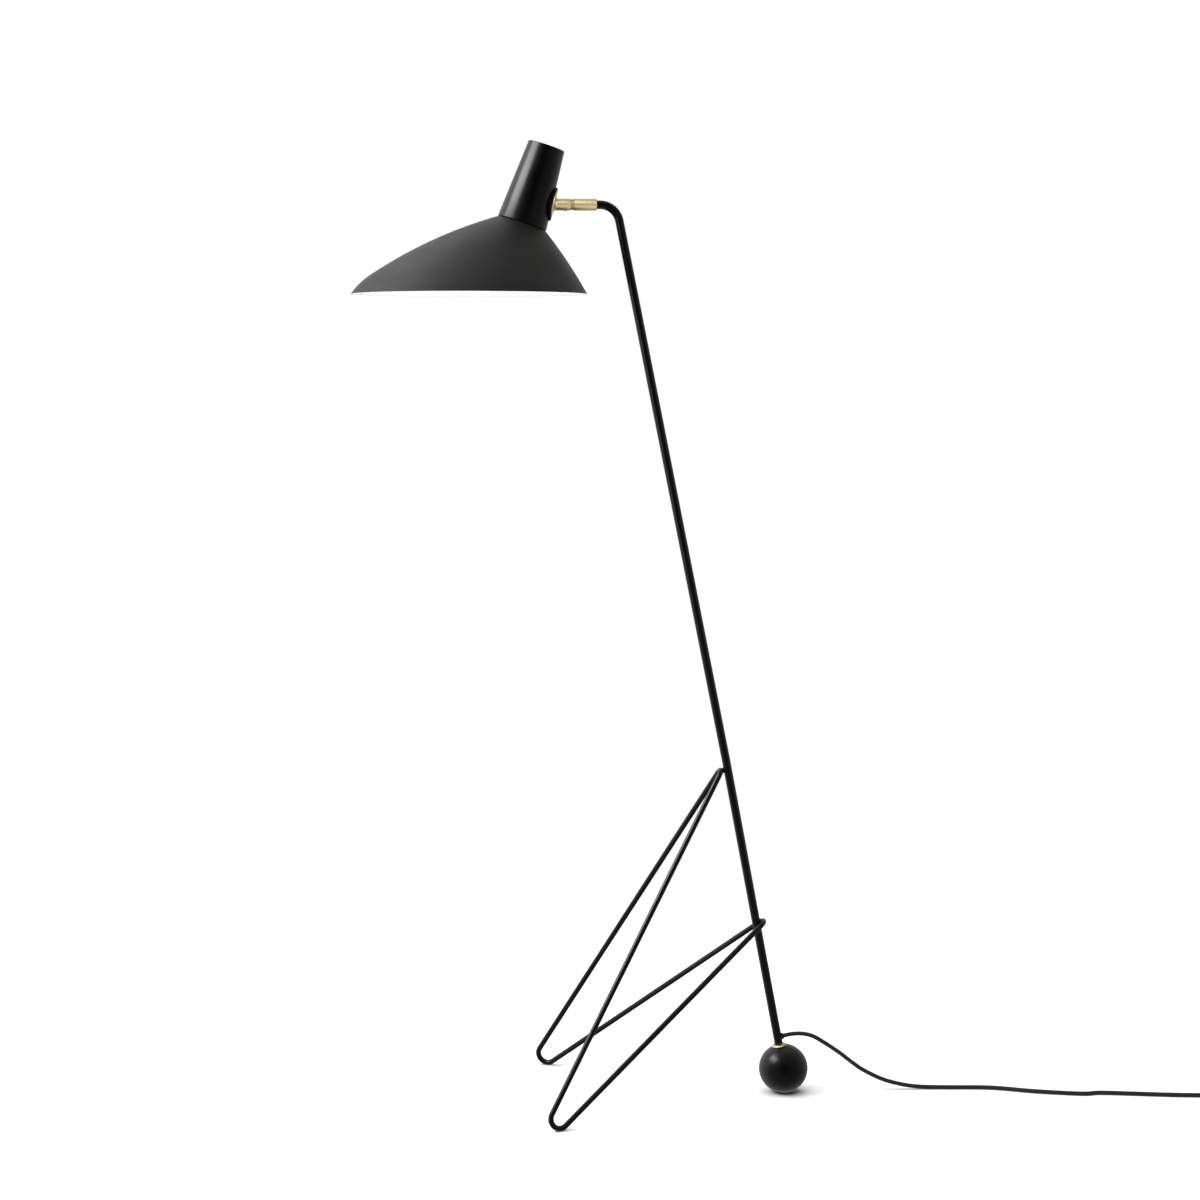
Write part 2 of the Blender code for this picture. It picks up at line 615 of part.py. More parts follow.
def cord_route():
    """The cord's own points from the grommet to the switch: a low arch, then loose curves on the floor."""
    base = Vector((BALL_X, 0, BALL_R))
    side = Vector((math.cos(STEM_TILT), 0, math.sin(STEM_TILT)))
    start = base + along(STEM_TILT) * OUTLET_UP + side * (STEM_R + 0.0004)
    return [
        start, (0.2985, 0, 0.0846), (0.3120, 0, 0.0849), (0.3250, 0, 0.0824), (0.3366, 0, 0.0768),
        (0.3534, 0, 0.0660), (0.3702, 0, 0.0541), (0.3870, 0, 0.0407), (0.4035, 0, 0.0293),
        (0.4300, 0, 0.0160), (0.4560, -0.0003, 0.0082), (0.4830, -0.0010, 0.0040),
        (0.5222, -0.0042, FLOOR), (0.5872, -0.0111, FLOOR), (0.6474, -0.0345, FLOOR),
        (0.7102, -0.0509, FLOOR), (0.7371, -0.0482, FLOOR), (0.7871, -0.0570, FLOOR),
        (0.8330, -0.0656, FLOOR), (0.8761, -0.0711, FLOOR), (0.9090, -0.0750, 0.0034),
        (0.9270, -0.0773, 0.0062), switch_end(-1, 0.006), switch_end(-1, GAP),
    ]


def switch_end(side, beyond):
    """A point on the switch's long axis, past its left (-1) or right (+1) end."""
    reach = side * (SWITCH_SIZE[0] / 2 + beyond)
    x, y = SWITCH_AT
    return (x + reach * math.cos(SWITCH_TURN), y + reach * math.sin(SWITCH_TURN), SWITCH_SPLIT)


def build_cord():
    tube("cord_lead", smooth_line(cord_route(), 0.0125), CORD_R, "textile")
    x, y = COIL_AT
    turn_y = y - COIL_OUT_R + CORD_R
    low = COIL_LOW + FLOOR
    tail = [switch_end(1, GAP), switch_end(1, 0.006), (1.0230, -0.0880, 0.0054),
            (1.0360, turn_y + 0.0006, low), (x - 0.0240, turn_y, low)]
    tube("cord_tail", smooth_line(tail, 0.0080), CORD_R, "textile")
    band = COIL_HIGH - COIL_LOW
    ease = 0.0022
    bundle = [(COIL_IN_R + ease, COIL_HIGH), (COIL_OUT_R - ease, COIL_HIGH), (COIL_OUT_R, COIL_HIGH - ease),
              (COIL_OUT_R, COIL_LOW + ease), (COIL_OUT_R - ease, COIL_LOW), (COIL_IN_R + ease, COIL_LOW),
              (COIL_IN_R, COIL_LOW + ease), (COIL_IN_R, COIL_HIGH - ease)]
    turned("cord_coil", bundle, "textile", None, 40, closed=True, location=(x, y, 0))
    middle = (COIL_IN_R + COIL_OUT_R) / 2
    wide = COIL_OUT_R - COIL_IN_R + 2 * GAP + 0.0004
    tie_at = (x + middle, y, (COIL_HIGH + COIL_LOW) / 2)
    tie = block("coil_tie", (wide + 0.0016, 0.0070, band + 0.0022), "black_rubber", None, 0.0006, location=tie_at)
    boolean(tie, block("tie_inside", (wide, 0.0200, band + 2 * GAP), location=tie_at))
    relief_end = PLUG_FRONT[0] + PLUG_SIZE[0] + RELIEF_LENGTH
    beside = PLUG_FRONT[1] + 0.0024
    end = [(x - 0.0150, beside, 0.0092), (x - 0.0190, beside, 0.0086),
           (relief_end + 0.0030, PLUG_FRONT[1], 0.0074), (relief_end + GAP, PLUG_FRONT[1], PLUG_Z)]
    tube("cord_end", smooth_line(end, 0.0060), CORD_R, "textile")


def build_switch():
    """An in-line rocker switch: two half shells, the rocker on its pin and the contact block."""
    long, wide, high = SWITCH_SIZE
    where = axis_empty("switch_axis", (*SWITCH_AT, 0), (0, 0, SWITCH_TURN))
    cover_high = high - SWITCH_SPLIT - GAP
    halves = {
        "switch_base": (SWITCH_SPLIT, SWITCH_SPLIT / 2, SWITCH_WALL),
        "switch_cover": (cover_high, SWITCH_SPLIT + GAP + cover_high / 2, -SWITCH_WALL),
    }
    rocker_x, rocker_y = ROCKER_SIZE
    hole_r = CORD_R + GAP
    for name, (tall, middle, lift) in halves.items():
        shell = block(name, (long, wide, tall), "black_plastic", where, location=(0, 0, middle))
        hollow = block(name + "_hollow", (long - 2 * SWITCH_WALL, wide - 2 * SWITCH_WALL, tall), None, where,
                       location=(0, 0, middle + lift))
        boolean(shell, hollow)
        way = drum(name + "_cord_way", hole_r, long / 2 - 0.004, long / 2 + 0.001, None, where, 16,
                   location=(0, 0, SWITCH_SPLIT), rotation=(0, math.radians(90), 0))
        other_way = drum(name + "_cord_exit", hole_r, long / 2 - 0.004, long / 2 + 0.001, None, where, 16,
                         location=(0, 0, SWITCH_SPLIT), rotation=(0, math.radians(-90), 0))
        boolean(shell, way)
        boolean(shell, other_way)
        if name == "switch_cover":
            boolean(shell, block("rocker_window", (rocker_x + 0.0020, rocker_y + 0.0010, 0.008), None, where,
                                 location=(0, 0, high)))
    pivot_z = high - 0.0034
    pivot = axis_empty("rocker_pivot", (SWITCH_AT[0], SWITCH_AT[1], pivot_z), (0, -ROCKER_TILT, SWITCH_TURN))
    half = rocker_x / 2
    rocker = [(-half, 0.0046), (-half * 0.3, 0.0040), (0, 0.0038), (half * 0.3, 0.0040), (half, 0.0046),
              (half * 0.92, 0.0010), (0.0030, -0.0022), (-0.0030, -0.0022), (-half * 0.92, 0.0010)]
    key = slab("switch_rocker", rocker, rocker_y, "black_plastic", pivot)
    pin_bore = drum("rocker_bore", 0.0013, -0.02, 0.02, None, pivot, 16, rotation=(math.radians(90), 0, 0))
    boolean(key, pin_bore)
    drum("rocker_pin", 0.0010, -wide / 2 + SWITCH_WALL + GAP, wide / 2 - SWITCH_WALL - GAP, "steel", pivot, 12,
         rotation=(math.radians(90), 0, 0))
    block("contact_block", (0.0260, 0.0180, 0.0055), "white_plastic", where, 0.0005,
          location=(0, 0, SWITCH_WALL + GAP + 0.0055 / 2))


def build_plug():
    x, y = PLUG_FRONT
    long, wide, high = PLUG_SIZE
    half = wide / 2
    neck = 0.0085
    outline = [(0, half * 0.80), (0.004, half), (0.016, half), (0.027, half * 0.72), (long, neck * 0.78),
               (long, -neck * 0.78), (0.027, -half * 0.72), (0.016, -half), (0.004, -half), (0, -half * 0.80)]
    body = slab("plug_body", outline, high, "black_plastic", None, location=(x, y, PLUG_Z),
                rotation=(math.radians(90), 0, 0))
    rounding = body.modifiers.new("bevel", "BEVEL")
    rounding.width = 0.0012
    rounding.segments = 2
    rounding.limit_method = "ANGLE"
    for name, side in (("plug_pin_left", -1), ("plug_pin_right", 1)):
        nose = [(0, PIN_LENGTH), (PIN_R * 0.6, PIN_LENGTH), (PIN_R, PIN_LENGTH - 0.0012), (PIN_R, GAP), (0, GAP)]
        turned(name, nose, "brass", None, 16, location=(x, y + side * PIN_SPACING / 2, PLUG_Z),
               rotation=(0, math.radians(-90), 0))
    relief = [(CORD_R + GAP, RELIEF_LENGTH), (0.0041, RELIEF_LENGTH), (0.0054, GAP), (CORD_R + GAP, GAP)]
    turned("plug_strain_relief", relief, "black_rubber", None, 20, closed=True,
           location=(x + long, y, PLUG_Z), rotation=(0, math.radians(90), 0))


clear_scene()
make_materials()
stem_axis = axis_empty("stem_axis", (BALL_X, 0, BALL_R), (0, -STEM_TILT, 0))
arm_axis = axis_empty("arm_axis", (SLEEVE_LEFT, 0, ARM_Z), (0, math.radians(-90), 0))
head_pivot = axis_empty("head_pivot", (SLEEVE_LEFT, 0, ARM_Z), (0, math.radians(-90), 0))

# The neck's lower middle, worked out from where its side has to meet the disc.
outward = Vector((math.cos(side_lean()), 0, -math.sin(side_lean())))
neck_up = Vector((math.sin(HEAD_TILT), 0, math.cos(HEAD_TILT)))
neck_right = Vector((math.cos(HEAD_TILT), 0, -math.sin(HEAD_TILT)))
head_origin = (Vector((DISC_X, 0, ARM_Z)) - outward * DISC_MID - neck_right * neck_radius(DISC_UP)
               - neck_up * DISC_UP)
head_frame = axis_empty("head_frame", head_origin, (0, HEAD_TILT, 0), head_pivot)

build_stem(stem_axis)
build_leg_frame()
build_ball_foot(stem_axis)
build_outlet(stem_axis)
build_arm_joint(arm_axis, head_pivot)
build_neck()
build_shade()
build_lampholder()
build_bulb()
build_leads()
build_cord()
build_switch()
build_plug()
bpy.context.view_layer.update()
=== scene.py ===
"""The looks of the floor lamp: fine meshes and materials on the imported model, its cord, a plain studio and
the camera. Everything is in metres in the model's own frame."""

import json
import math

import bmesh
import bpy
from mathutils import Matrix, Vector, noise


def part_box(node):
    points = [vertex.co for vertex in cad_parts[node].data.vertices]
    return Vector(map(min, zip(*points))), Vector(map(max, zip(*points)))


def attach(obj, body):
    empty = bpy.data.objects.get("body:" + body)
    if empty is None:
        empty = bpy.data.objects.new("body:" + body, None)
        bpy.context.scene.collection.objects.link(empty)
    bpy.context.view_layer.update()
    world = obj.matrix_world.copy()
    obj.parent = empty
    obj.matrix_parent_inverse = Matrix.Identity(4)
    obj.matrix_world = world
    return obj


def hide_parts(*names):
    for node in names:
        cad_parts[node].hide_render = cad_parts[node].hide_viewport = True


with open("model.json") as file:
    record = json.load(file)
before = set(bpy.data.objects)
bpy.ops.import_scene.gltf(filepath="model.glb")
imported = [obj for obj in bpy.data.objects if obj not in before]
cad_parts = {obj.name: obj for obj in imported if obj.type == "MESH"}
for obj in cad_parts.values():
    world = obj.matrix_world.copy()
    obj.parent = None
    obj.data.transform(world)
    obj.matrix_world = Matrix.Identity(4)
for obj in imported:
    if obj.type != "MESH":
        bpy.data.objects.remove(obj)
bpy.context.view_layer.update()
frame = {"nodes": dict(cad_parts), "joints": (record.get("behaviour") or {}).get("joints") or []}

# ---- driving dimensions, as the model has them ----

joint_at = {joint["name"]: Vector(joint["pos_m"]) for joint in frame["joints"]}
pivot = joint_at["head_swivel"]
ball_low, ball_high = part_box("ball_foot")
AIR = 0.0003  # between pieces that touch
ARM_Z = pivot.z
BALL_R = (ball_high.x - ball_low.x) / 2
BALL = Vector(((ball_low.x + ball_high.x) / 2, 0, BALL_R))
BALL_TOP_FLAT = 0.0336
BALL_UNDER_FLAT = 0.0015
STEM_R = 0.006
STEM_TILT = math.radians(10.71)
STEM_TILT_ABOVE = math.radians(11.37)
WELD_Z = 0.479
STEM_FOOT = 0.0370
ARM_BEND_R = 0.0275
TUBE_END = -0.0006
ROD_R = 0.0039
UPPER_APEX = (BALL.x - 0.0803, 0, 0.4896)
LOWER_APEX = (BALL.x - 0.0141, 0, 0.2629)
FOOT_CORNER = (BALL.x - 0.3778, 0.1937, -0.03907)
UPPER_BEND_R = 0.0108
LOWER_BEND_R = 0.0126
FOOT_BEND_R = 0.0137
OUTLET_UP = 0.0465
CORD_R = 0.0030
OUTLET_MOUTH = 0.0086

SLEEVE_R = 0.0081
SLEEVE_RIGHT = 0.0177
STUB_RIGHT = -0.0185
STUB_BORE_LONG = 0.0135
LEAD_WAY_R = 0.0036
FLARE_LONG = 0.0070  # from the disc's middle to the end of the plain stub
SPINDLE_R = 0.0050
DISC_X = -0.0416
DISC_R = 0.0235
DISC_MID = 0.0021  # from the neck's side out to the disc's middle
DISC_BACK = 0.0015
DISC_UP = 0.0370
DISC_BEND_R = 0.1050
DISC_HUB_R = 0.0095
SADDLE_WIDE = 0.0340
SCREW_AT = 0.0118
SLEEVE_SCREW_AT = 0.0080

HEAD_TILT = math.radians(17.9)
NECK_H = 0.1103
NECK_BASE_R = 0.0350
NECK_TOP_R = 0.0259
NECK_WALL = 0.0012
FLANGE_TOP = 0.0013
SHADE_WALL = 0.0010
SHADE_HOLE_R = 0.0203
SHOULDER_R = 0.0060
FLANK_R = 0.6350
RIM_CURVE_R = 0.1000
FLANK_START = math.radians(33.7)
FLANK_END = math.radians(51.45)
RIM_END = math.radians(79)
RIM_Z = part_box("shade")[0].z
BEAD_R = 0.0011
BEAD_HANG = 0.0010  # how far the rolled bead hangs below the sheet it is rolled from
BULB_R = 0.0300
BULB_MIDDLE = -0.0600

FLOOR = CORD_R + 0.0001
SWITCH_AT = Vector((0.9720, -0.0822, 0))
SWITCH_TURN = math.radians(-6)
SWITCH_SIZE = (0.0620, 0.0260, 0.0166)
SWITCH_SPLIT = 0.0084
ROCKER_TILT = math.radians(-7)
COIL_AT = Vector((1.0670, -0.0480, 0))
COIL_RADII = (0.0426, 0.0364, 0.0302, 0.0240)  # the rows of turns in each of its two layers
LAYER_UP = 0.0062
TIE_THICK = 0.0008
TIE_LIFT = 0.0010  # how far the turns are lifted by the tie under them
PLUG_FRONT = Vector((0.9740, -0.0040, 0.0070))
PLUG_LONG = 0.0360
RELIEF_LONG = 0.0240
PIN_R = 0.0020
PIN_LONG = 0.0190
PIN_SPACING = 0.0190

X, Y, Z = Vector((1, 0, 0)), Vector((0, 1, 0)), Vector((0, 0, 1))


# ---- mesh helpers ----


def along(tilt):
    """The direction that leans back from upright, towards -X, by tilt."""
    return Vector((-math.sin(tilt), 0, math.cos(tilt)))


def frame_at(origin, direction, across=Y):
    """A matrix at origin whose Z is direction and whose Y is across."""
    z = direction.normalized()
    x = across.cross(z).normalized()
    y = z.cross(x)
    matrix = Matrix((x, y, z)).transposed().to_4x4()
    matrix.translation = origin
    return matrix


def run_along(points):
    """How far along a line each of its points is."""
    lengths = [0.0]
    for a, b in zip(points, points[1:]):
        lengths.append(lengths[-1] + (b - a).length)
    return lengths


def new_object(name, shape, at=Matrix(), sharp=35):
    """An object from a bmesh, which is freed, smooth but for edges sharper than the angle."""
    bmesh.ops.remove_doubles(shape, verts=shape.verts, dist=1e-7)
    bmesh.ops.recalc_face_normals(shape, faces=shape.faces)
    mesh = bpy.data.meshes.new(name)
    shape.to_mesh(mesh)
    shape.free()
    mesh.shade_smooth()
    mesh.set_sharp_from_angle(angle=math.radians(sharp))
    item = bpy.data.objects.new(name, mesh)
    bpy.context.scene.collection.objects.link(item)
    item.matrix_world = at
    return item


def skin(name, rings, joined=False, at=Matrix(), sharp=35, lengths=None):
    """A surface over rings of points. UV runs round each ring (0 to 1) and along them in metres.
    joined closes the last ring onto the first; otherwise the ends are filled."""
    shape = bmesh.new()
    uv = shape.loops.layers.uv.new("UVMap")
    rows = [[shape.verts.new(p) for p in ring] for ring in rings]
    if lengths is None:
        lengths = run_along([ring[0] for ring in rings])
    pairs = list(zip(rows, rows[1:], lengths, lengths[1:]))
    if joined:
        last = lengths[-1] + (rings[-1][0] - rings[0][0]).length
        pairs.append((rows[-1], rows[0], lengths[-1], last))
    sides = len(rings[0])
    for low, high, v0, v1 in pairs:
        for k in range(sides):
            n = (k + 1) % sides
            face = shape.faces.new((low[k], low[n], high[n], high[k]))
            spots = ((k / sides, v0), ((k + 1) / sides, v0), ((k + 1) / sides, v1), (k / sides, v1))
            for loop, spot in zip(face.loops, spots):
                loop[uv].uv = spot
    if not joined:
        for row in (rows[0], rows[-1]):
            if (row[0].co - row[sides // 2].co).length > 1e-6:
                shape.faces.new(row)
    return new_object(name, shape, at, sharp)


def circle(centre, radius, x, y, sides):
    turns = [2 * math.pi * k / sides for k in range(sides)]
    return [centre + radius * (math.cos(t) * x + math.sin(t) * y) for t in turns]


def softened(outline, radius, closed):
    """The (radius, height) outline with its sharp corners rounded."""
    points = [Vector(p) for p in outline]
    count, steps = len(points), 3
    soft = []
    for i, corner in enumerate(points):
        if not closed and i in (0, count - 1):
            soft.append(corner)
            continue
        back, onward = points[i - 1] - corner, points[(i + 1) % count] - corner
        turn = math.pi - back.angle(onward)
        if turn < math.radians(20):
            soft.append(corner)
            continue
        reach = min(radius * math.tan(turn / 2), back.length * 0.45, onward.length * 0.45)
        start, end = corner + back.normalized() * reach, corner + onward.normalized() * reach
        for k in range(steps + 1):
            t = k / steps
            soft.append(start * (1 - t) ** 2 + corner * 2 * t * (1 - t) + end * t**2)
    return [tuple(p) for p in soft]


def lathe(name, outline, at=Matrix(), closed=False, steps=96, soften=0.0, sharp=35):
    """A solid turned about local Z from (radius, height) points."""
    if soften:
        outline = softened(outline, soften, closed)
    rings = [circle(Z * h, r, X, Y, steps) for r, h in outline]
    return skin(name, rings, closed, at, sharp, run_along([Vector(p) for p in outline]))


def tube(name, path, radius, sides, closed=False, ease=0.0):
    """A round bar along the path. ease rounds the rims of its ends."""
    path = [Vector(p) for p in path]
    count = len(path)
    headings = []
    for i in range(count):
        before = path[i - 1] if closed or i else path[0]
        after = path[(i + 1) % count] if closed or i < count - 1 else path[-1]
        headings.append((after - before).normalized())
    side = headings[0].orthogonal().normalized()
    sides_of = []
    for heading in headings:
        side = (side - heading * side.dot(heading)).normalized()
        sides_of.append(side.copy())
    drift = 0.0
    if closed:
        last = (side - headings[0] * side.dot(headings[0])).normalized()
        drift = math.atan2(last.cross(sides_of[0]).dot(headings[0]), last.dot(sides_of[0]))
    rings, lengths = [], run_along(path)
    for i, (point, heading, side) in enumerate(zip(path, headings, sides_of)):
        spun = Matrix.Rotation(drift * i / count, 3, heading) @ side
        rings.append(circle(point, radius, spun, heading.cross(spun), sides))
    if ease:
        for end, way in ((0, -1), (-1, 1)):
            heading, side = headings[end], sides_of[end]
            rim = rings[end]
            for k in range(1, 4):
                angle = math.radians(90) * k / 3
                shift = heading * way * ease * math.sin(angle)
                scale = 1 - ease / radius * (1 - math.cos(angle))
                ring = [path[end] + (p - path[end]) * scale + shift for p in rim]
                rings.insert(0 if end == 0 else len(rings), ring)
                lengths.insert(0 if end == 0 else len(lengths), lengths[end] + way * ease / 3)
    return skin(name, rings, closed, lengths=lengths, sharp=50)


def rounded_path(corners, radii, steps):
    """The corners as a line with an arc of its own radius at each; a radius of 0 keeps a corner."""
    corners = [Vector(c) for c in corners]
    line = []
    for i, (corner, radius) in enumerate(zip(corners, radii)):
        if radius == 0:
            line.append(corner)
            continue
        back = (corners[i - 1] - corner).normalized()
        onward = (corners[(i + 1) % len(corners)] - corner).normalized()
        half = back.angle(onward) / 2
        centre = corner + (back + onward).normalized() * radius / math.sin(half)
        start = corner + back * radius / math.tan(half) - centre
        turn = start.rotation_difference(corner + onward * radius / math.tan(half) - centre)
        for k in range(steps + 1):
            line.append(centre + Matrix.Rotation(turn.angle * k / steps, 3, turn.axis) @ start)
    return line


def evenly(line, spacing):
    """Points a spacing apart along a fine line."""
    lengths = run_along(line)
    count = max(2, round(lengths[-1] / spacing))
    spaced, i = [], 0
    for k in range(count + 1):
        target = lengths[-1] * k / count
        while i < len(line) - 2 and lengths[i + 1] < target:
            i += 1
        span = lengths[i + 1] - lengths[i]
        spaced.append(line[i].lerp(line[i + 1], (target - lengths[i]) / span if span else 0))
    return spaced


def smooth_line(route, spacing):
    """Evenly spaced points on a Catmull-Rom curve through the route's points."""
    route = [Vector(p) for p in route]
    ends = [2 * route[0] - route[1]] + route + [2 * route[-1] - route[-2]]
    fine = []
    for a, b, c, d in zip(ends, ends[1:], ends[2:], ends[3:]):
        for k in range(24):
            t = k / 24
            fine.append(
                0.5 * (2 * b + (c - a) * t + (2 * a - 5 * b + 4 * c - d) * t**2
                       + (3 * b - a - 3 * c + d) * t**3)
            )
    fine.append(route[-1])
    return evenly(fine, spacing)


def cut(item, cutter):
    """Cuts one object out of another and keeps the result as its mesh. The cutter is removed."""
    change = item.modifiers.new("cut", "BOOLEAN")
    change.object = cutter
    bpy.context.view_layer.update()
    evaluated = item.evaluated_get(bpy.context.evaluated_depsgraph_get())
    result = bpy.data.meshes.new_from_object(evaluated)
    item.modifiers.clear()
    item.data = result
    item.data.set_sharp_from_angle(angle=math.radians(35))
    bpy.data.objects.remove(cutter, do_unlink=True)


# ---- materials ----


class Graph:
    """A node tree, with short ways to add to it."""

    def __init__(self, tree):
        self.nodes, self.links = tree.nodes, tree.links

    def feed(self, socket, value):
        """Links another node's output to a socket, or sets a constant on it."""
        if isinstance(value, bpy.types.NodeSocket):
            self.links.new(value, socket)
        else:
            socket.default_value = value

    def add(self, kind, inputs=(), output=0, **settings):
        """The output of a new node. Its inputs are given in order, or by name."""
        node = self.nodes.new("ShaderNode" + kind)
        for setting, value in settings.items():
            setattr(node, setting, value)
        for socket, value in inputs.items() if isinstance(inputs, dict) else enumerate(inputs):
            self.feed(node.inputs[socket], value)
        return node.outputs[output]

    def math(self, operation, *values):
        return self.add("Math", values, operation=operation)


class Look(Graph):
    """A Principled material whose roughness, bump and colour come from procedural nodes."""

    def __init__(self, name, color, roughness, metallic=0.0, coords="Object", **sockets):
        self.material = bpy.data.materials.new(name)
        self.material.use_nodes = True
        super().__init__(self.material.node_tree)
        self.shader = self.nodes["Principled BSDF"]
        self.shader.inputs["Base Color"].default_value = (*color, 1)
        self.shader.inputs["Roughness"].default_value = roughness
        self.shader.inputs["Metallic"].default_value = metallic
        for socket, value in sockets.items():
            self.shader.inputs[socket.replace("_", " ")].default_value = value
        self.color = color
        self.coords = self.add("TexCoord", output=coords)

    def noise(self, scale, detail=3.0, stretch=None):
        spot = self.add("Mapping", {"Vector": self.coords, "Scale": stretch}) if stretch else self.coords
        return self.add("TexNoise", {"Vector": spot, "Scale": scale, "Detail": detail}, "Fac")

    def spread(self, value, low, high):
        """Maps a texture value from its usual 0.3 to 0.7 onto low to high."""
        return self.add("MapRange", (value, 0.3, 0.7, low, high))

    def roughen(self, value, low, high):
        self.feed(self.shader.inputs["Roughness"], self.spread(value, low, high))

    def tint(self, value, other):
        """The base colour turns into other where value is high."""
        inputs = {"Factor": self.spread(value, 0, 1), "A": (*self.color, 1), "B": (*other, 1)}
        mixed = self.add("Mix", inputs, "Result", data_type="RGBA")
        self.feed(self.shader.inputs["Base Color"], mixed)

    def bump(self, height, distance, strength=1.0):
        """Bumps the surface, on top of any bump that it has."""
        normal = self.shader.inputs["Normal"]
        inputs = {"Strength": strength, "Distance": distance, "Height": height}
        if normal.is_linked:
            inputs["Normal"] = normal.links[0].from_socket
        self.feed(normal, self.add("Bump", inputs))


def painted(name, color, roughness, grain=900.0, depth=0.00003, **sockets):
    """Sprayed paint: a slightly uneven gloss, faint orange peel and a fine powder grain."""
    look = Look(name, color, roughness, **sockets)
    look.roughen(look.noise(22.0, 4.0), roughness - 0.04, roughness + 0.05)
    look.tint(look.noise(9.0, 3.0), tuple(min(1, c * 1.25 + 0.001) for c in color))
    look.bump(look.noise(grain, 2.0), depth)
    look.bump(look.noise(grain * 4, 1.0), depth * 0.3)
    return look.material


def turned_metal(name, color, darker, roughness):
    """Turned and polished metal: fine rings round the piece and a little tarnish. UV runs along in metres."""
    look = Look(name, color, roughness, 1.0, coords="UV")
    rings = look.noise(1.0, 3.0, (0.6, 5200.0, 1.0))
    look.roughen(rings, roughness - 0.04, roughness + 0.06)
    look.tint(look.noise(1.0, 4.0, (5.0, 260.0, 1.0)), darker)
    look.bump(rings, 0.00001, 0.3)
    return look.material


def plain_metal(name, color, roughness):
    """Zinc-plated steel with a fine scratched grain."""
    look = Look(name, color, roughness, 1.0)
    look.roughen(look.noise(260.0, 4.0), roughness - 0.08, roughness + 0.12)
    look.tint(look.noise(120.0, 3.0), tuple(c * 0.8 for c in color))
    look.bump(look.noise(1500.0, 3.0, (1.0, 1.0, 0.2)), 0.00002)
    return look.material


def moulded(name, color, roughness, grain=2600.0, depth=0.00004):
    """Moulded plastic or rubber with a spark-eroded grain."""
    look = Look(name, color, roughness)
    look.roughen(look.noise(300.0, 3.0), roughness - 0.05, roughness + 0.08)
    look.tint(look.noise(60.0, 3.0), tuple(min(1, c * 1.12 + 0.002) for c in color))
    look.bump(look.noise(grain, 3.0), depth)
    return look.material


def braid(name, color, crest_highlight):
    """A braided textile sleeve. Strands cross at a slant and are tinted lighter where raised, a painted
    highlight; UV runs round (0 to 1) and along in metres.
    """
    look = Look(name, color, 0.75, coords="UV", Sheen_Weight=0.15, Sheen_Roughness=0.5)
    strands_round, repeat = 10, 0.0024
    u, v = (look.add("SeparateXYZ", [look.coords], axis) for axis in "XY")
    around = look.math("MULTIPLY", u, 2 * math.pi * strands_round)
    onward = look.math("MULTIPLY", v, 2 * math.pi / repeat)
    one = look.math("SINE", look.math("ADD", around, onward))
    other = look.math("SINE", look.math("SUBTRACT", around, onward))
    strands = look.math("MAXIMUM", one, other)
    weave = look.math("MULTIPLY_ADD", strands, 0.2, 0.5)
    # Painted highlight: the raised strands are tinted lighter, on top of their bump.
    look.tint(weave, crest_highlight)
    look.roughen(weave, 0.86, 0.66)
    look.bump(weave, 0.00035)
    look.bump(look.noise(1.0, 2.0, (240.0, 9000.0, 1.0)), 0.00005)
    return look.material


def opal():
    """Opal glass, faintly uneven."""
    look = Look("opal_glass", (0.93, 0.92, 0.89), 0.16, Subsurface_Weight=0.35, Subsurface_Scale=0.01)
    look.roughen(look.noise(90.0, 2.0), 0.13, 0.20)
    look.tint(look.noise(30.0, 2.0), (0.90, 0.89, 0.86))
    look.bump(look.noise(60.0, 1.0), 0.00003)
    return look.material


def make_materials():
    """Every look by name."""
    return {
        "stem": painted("stem_paint", (0.0018, 0.0018, 0.0019), 0.28, Specular_IOR_Level=0.6),
        "ball": painted("ball_paint", (0.002, 0.002, 0.0021), 0.31, 1400.0),
        "neck": painted("neck_paint", (0.0010, 0.0010, 0.0011), 0.31, Specular_IOR_Level=0.6),
        "shade": painted("shade_paint", (0.0060, 0.0058, 0.0055), 0.50, 1800.0),
        "inside": painted("shade_inside_paint", (0.92, 0.92, 0.91), 0.50, 1500.0),
        "brass": turned_metal("satin_brass", (0.82, 0.68, 0.41), (0.76, 0.62, 0.35), 0.42),
        "bronze": turned_metal("bush_bronze", (0.56, 0.47, 0.26), (0.49, 0.40, 0.21), 0.45),
        "cap_metal": turned_metal("bulb_cap_metal", (0.72, 0.70, 0.64), (0.60, 0.58, 0.52), 0.30),
        "steel": plain_metal("zinc_steel", (0.58, 0.58, 0.57), 0.34),
        "black_plastic": moulded("black_moulding", (0.012, 0.012, 0.0125), 0.38),
        "white_plastic": moulded("white_moulding", (0.80, 0.79, 0.75), 0.38),
        "rubber": moulded("black_rubber", (0.013, 0.013, 0.013), 0.58, 1800.0),
        "felt": moulded("felt_pad", (0.03, 0.03, 0.031), 0.95, 3500.0, 0.0004),
        "opal": opal(),
        "textile": braid("black_braid", (0.008, 0.008, 0.0085), (0.022, 0.022, 0.023)),
        "stamped_brass": plain_metal("stamped_brass", (0.80, 0.66, 0.40), 0.32),
        "lead_sheath": moulded("lead_sheath", (0.012, 0.012, 0.012), 0.5),
    }


looks = make_materials()


def own(item, look, body, *nodes):
    """Gives a piece its look and its body, and hides the model's nodes that it stands for."""
    if item.data.materials:
        item.data.materials[0] = looks[look]
    else:
        item.data.materials.append(looks[look])
    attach(item, body)
    if nodes:
        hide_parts(*nodes)


# ---- camera and studio ----


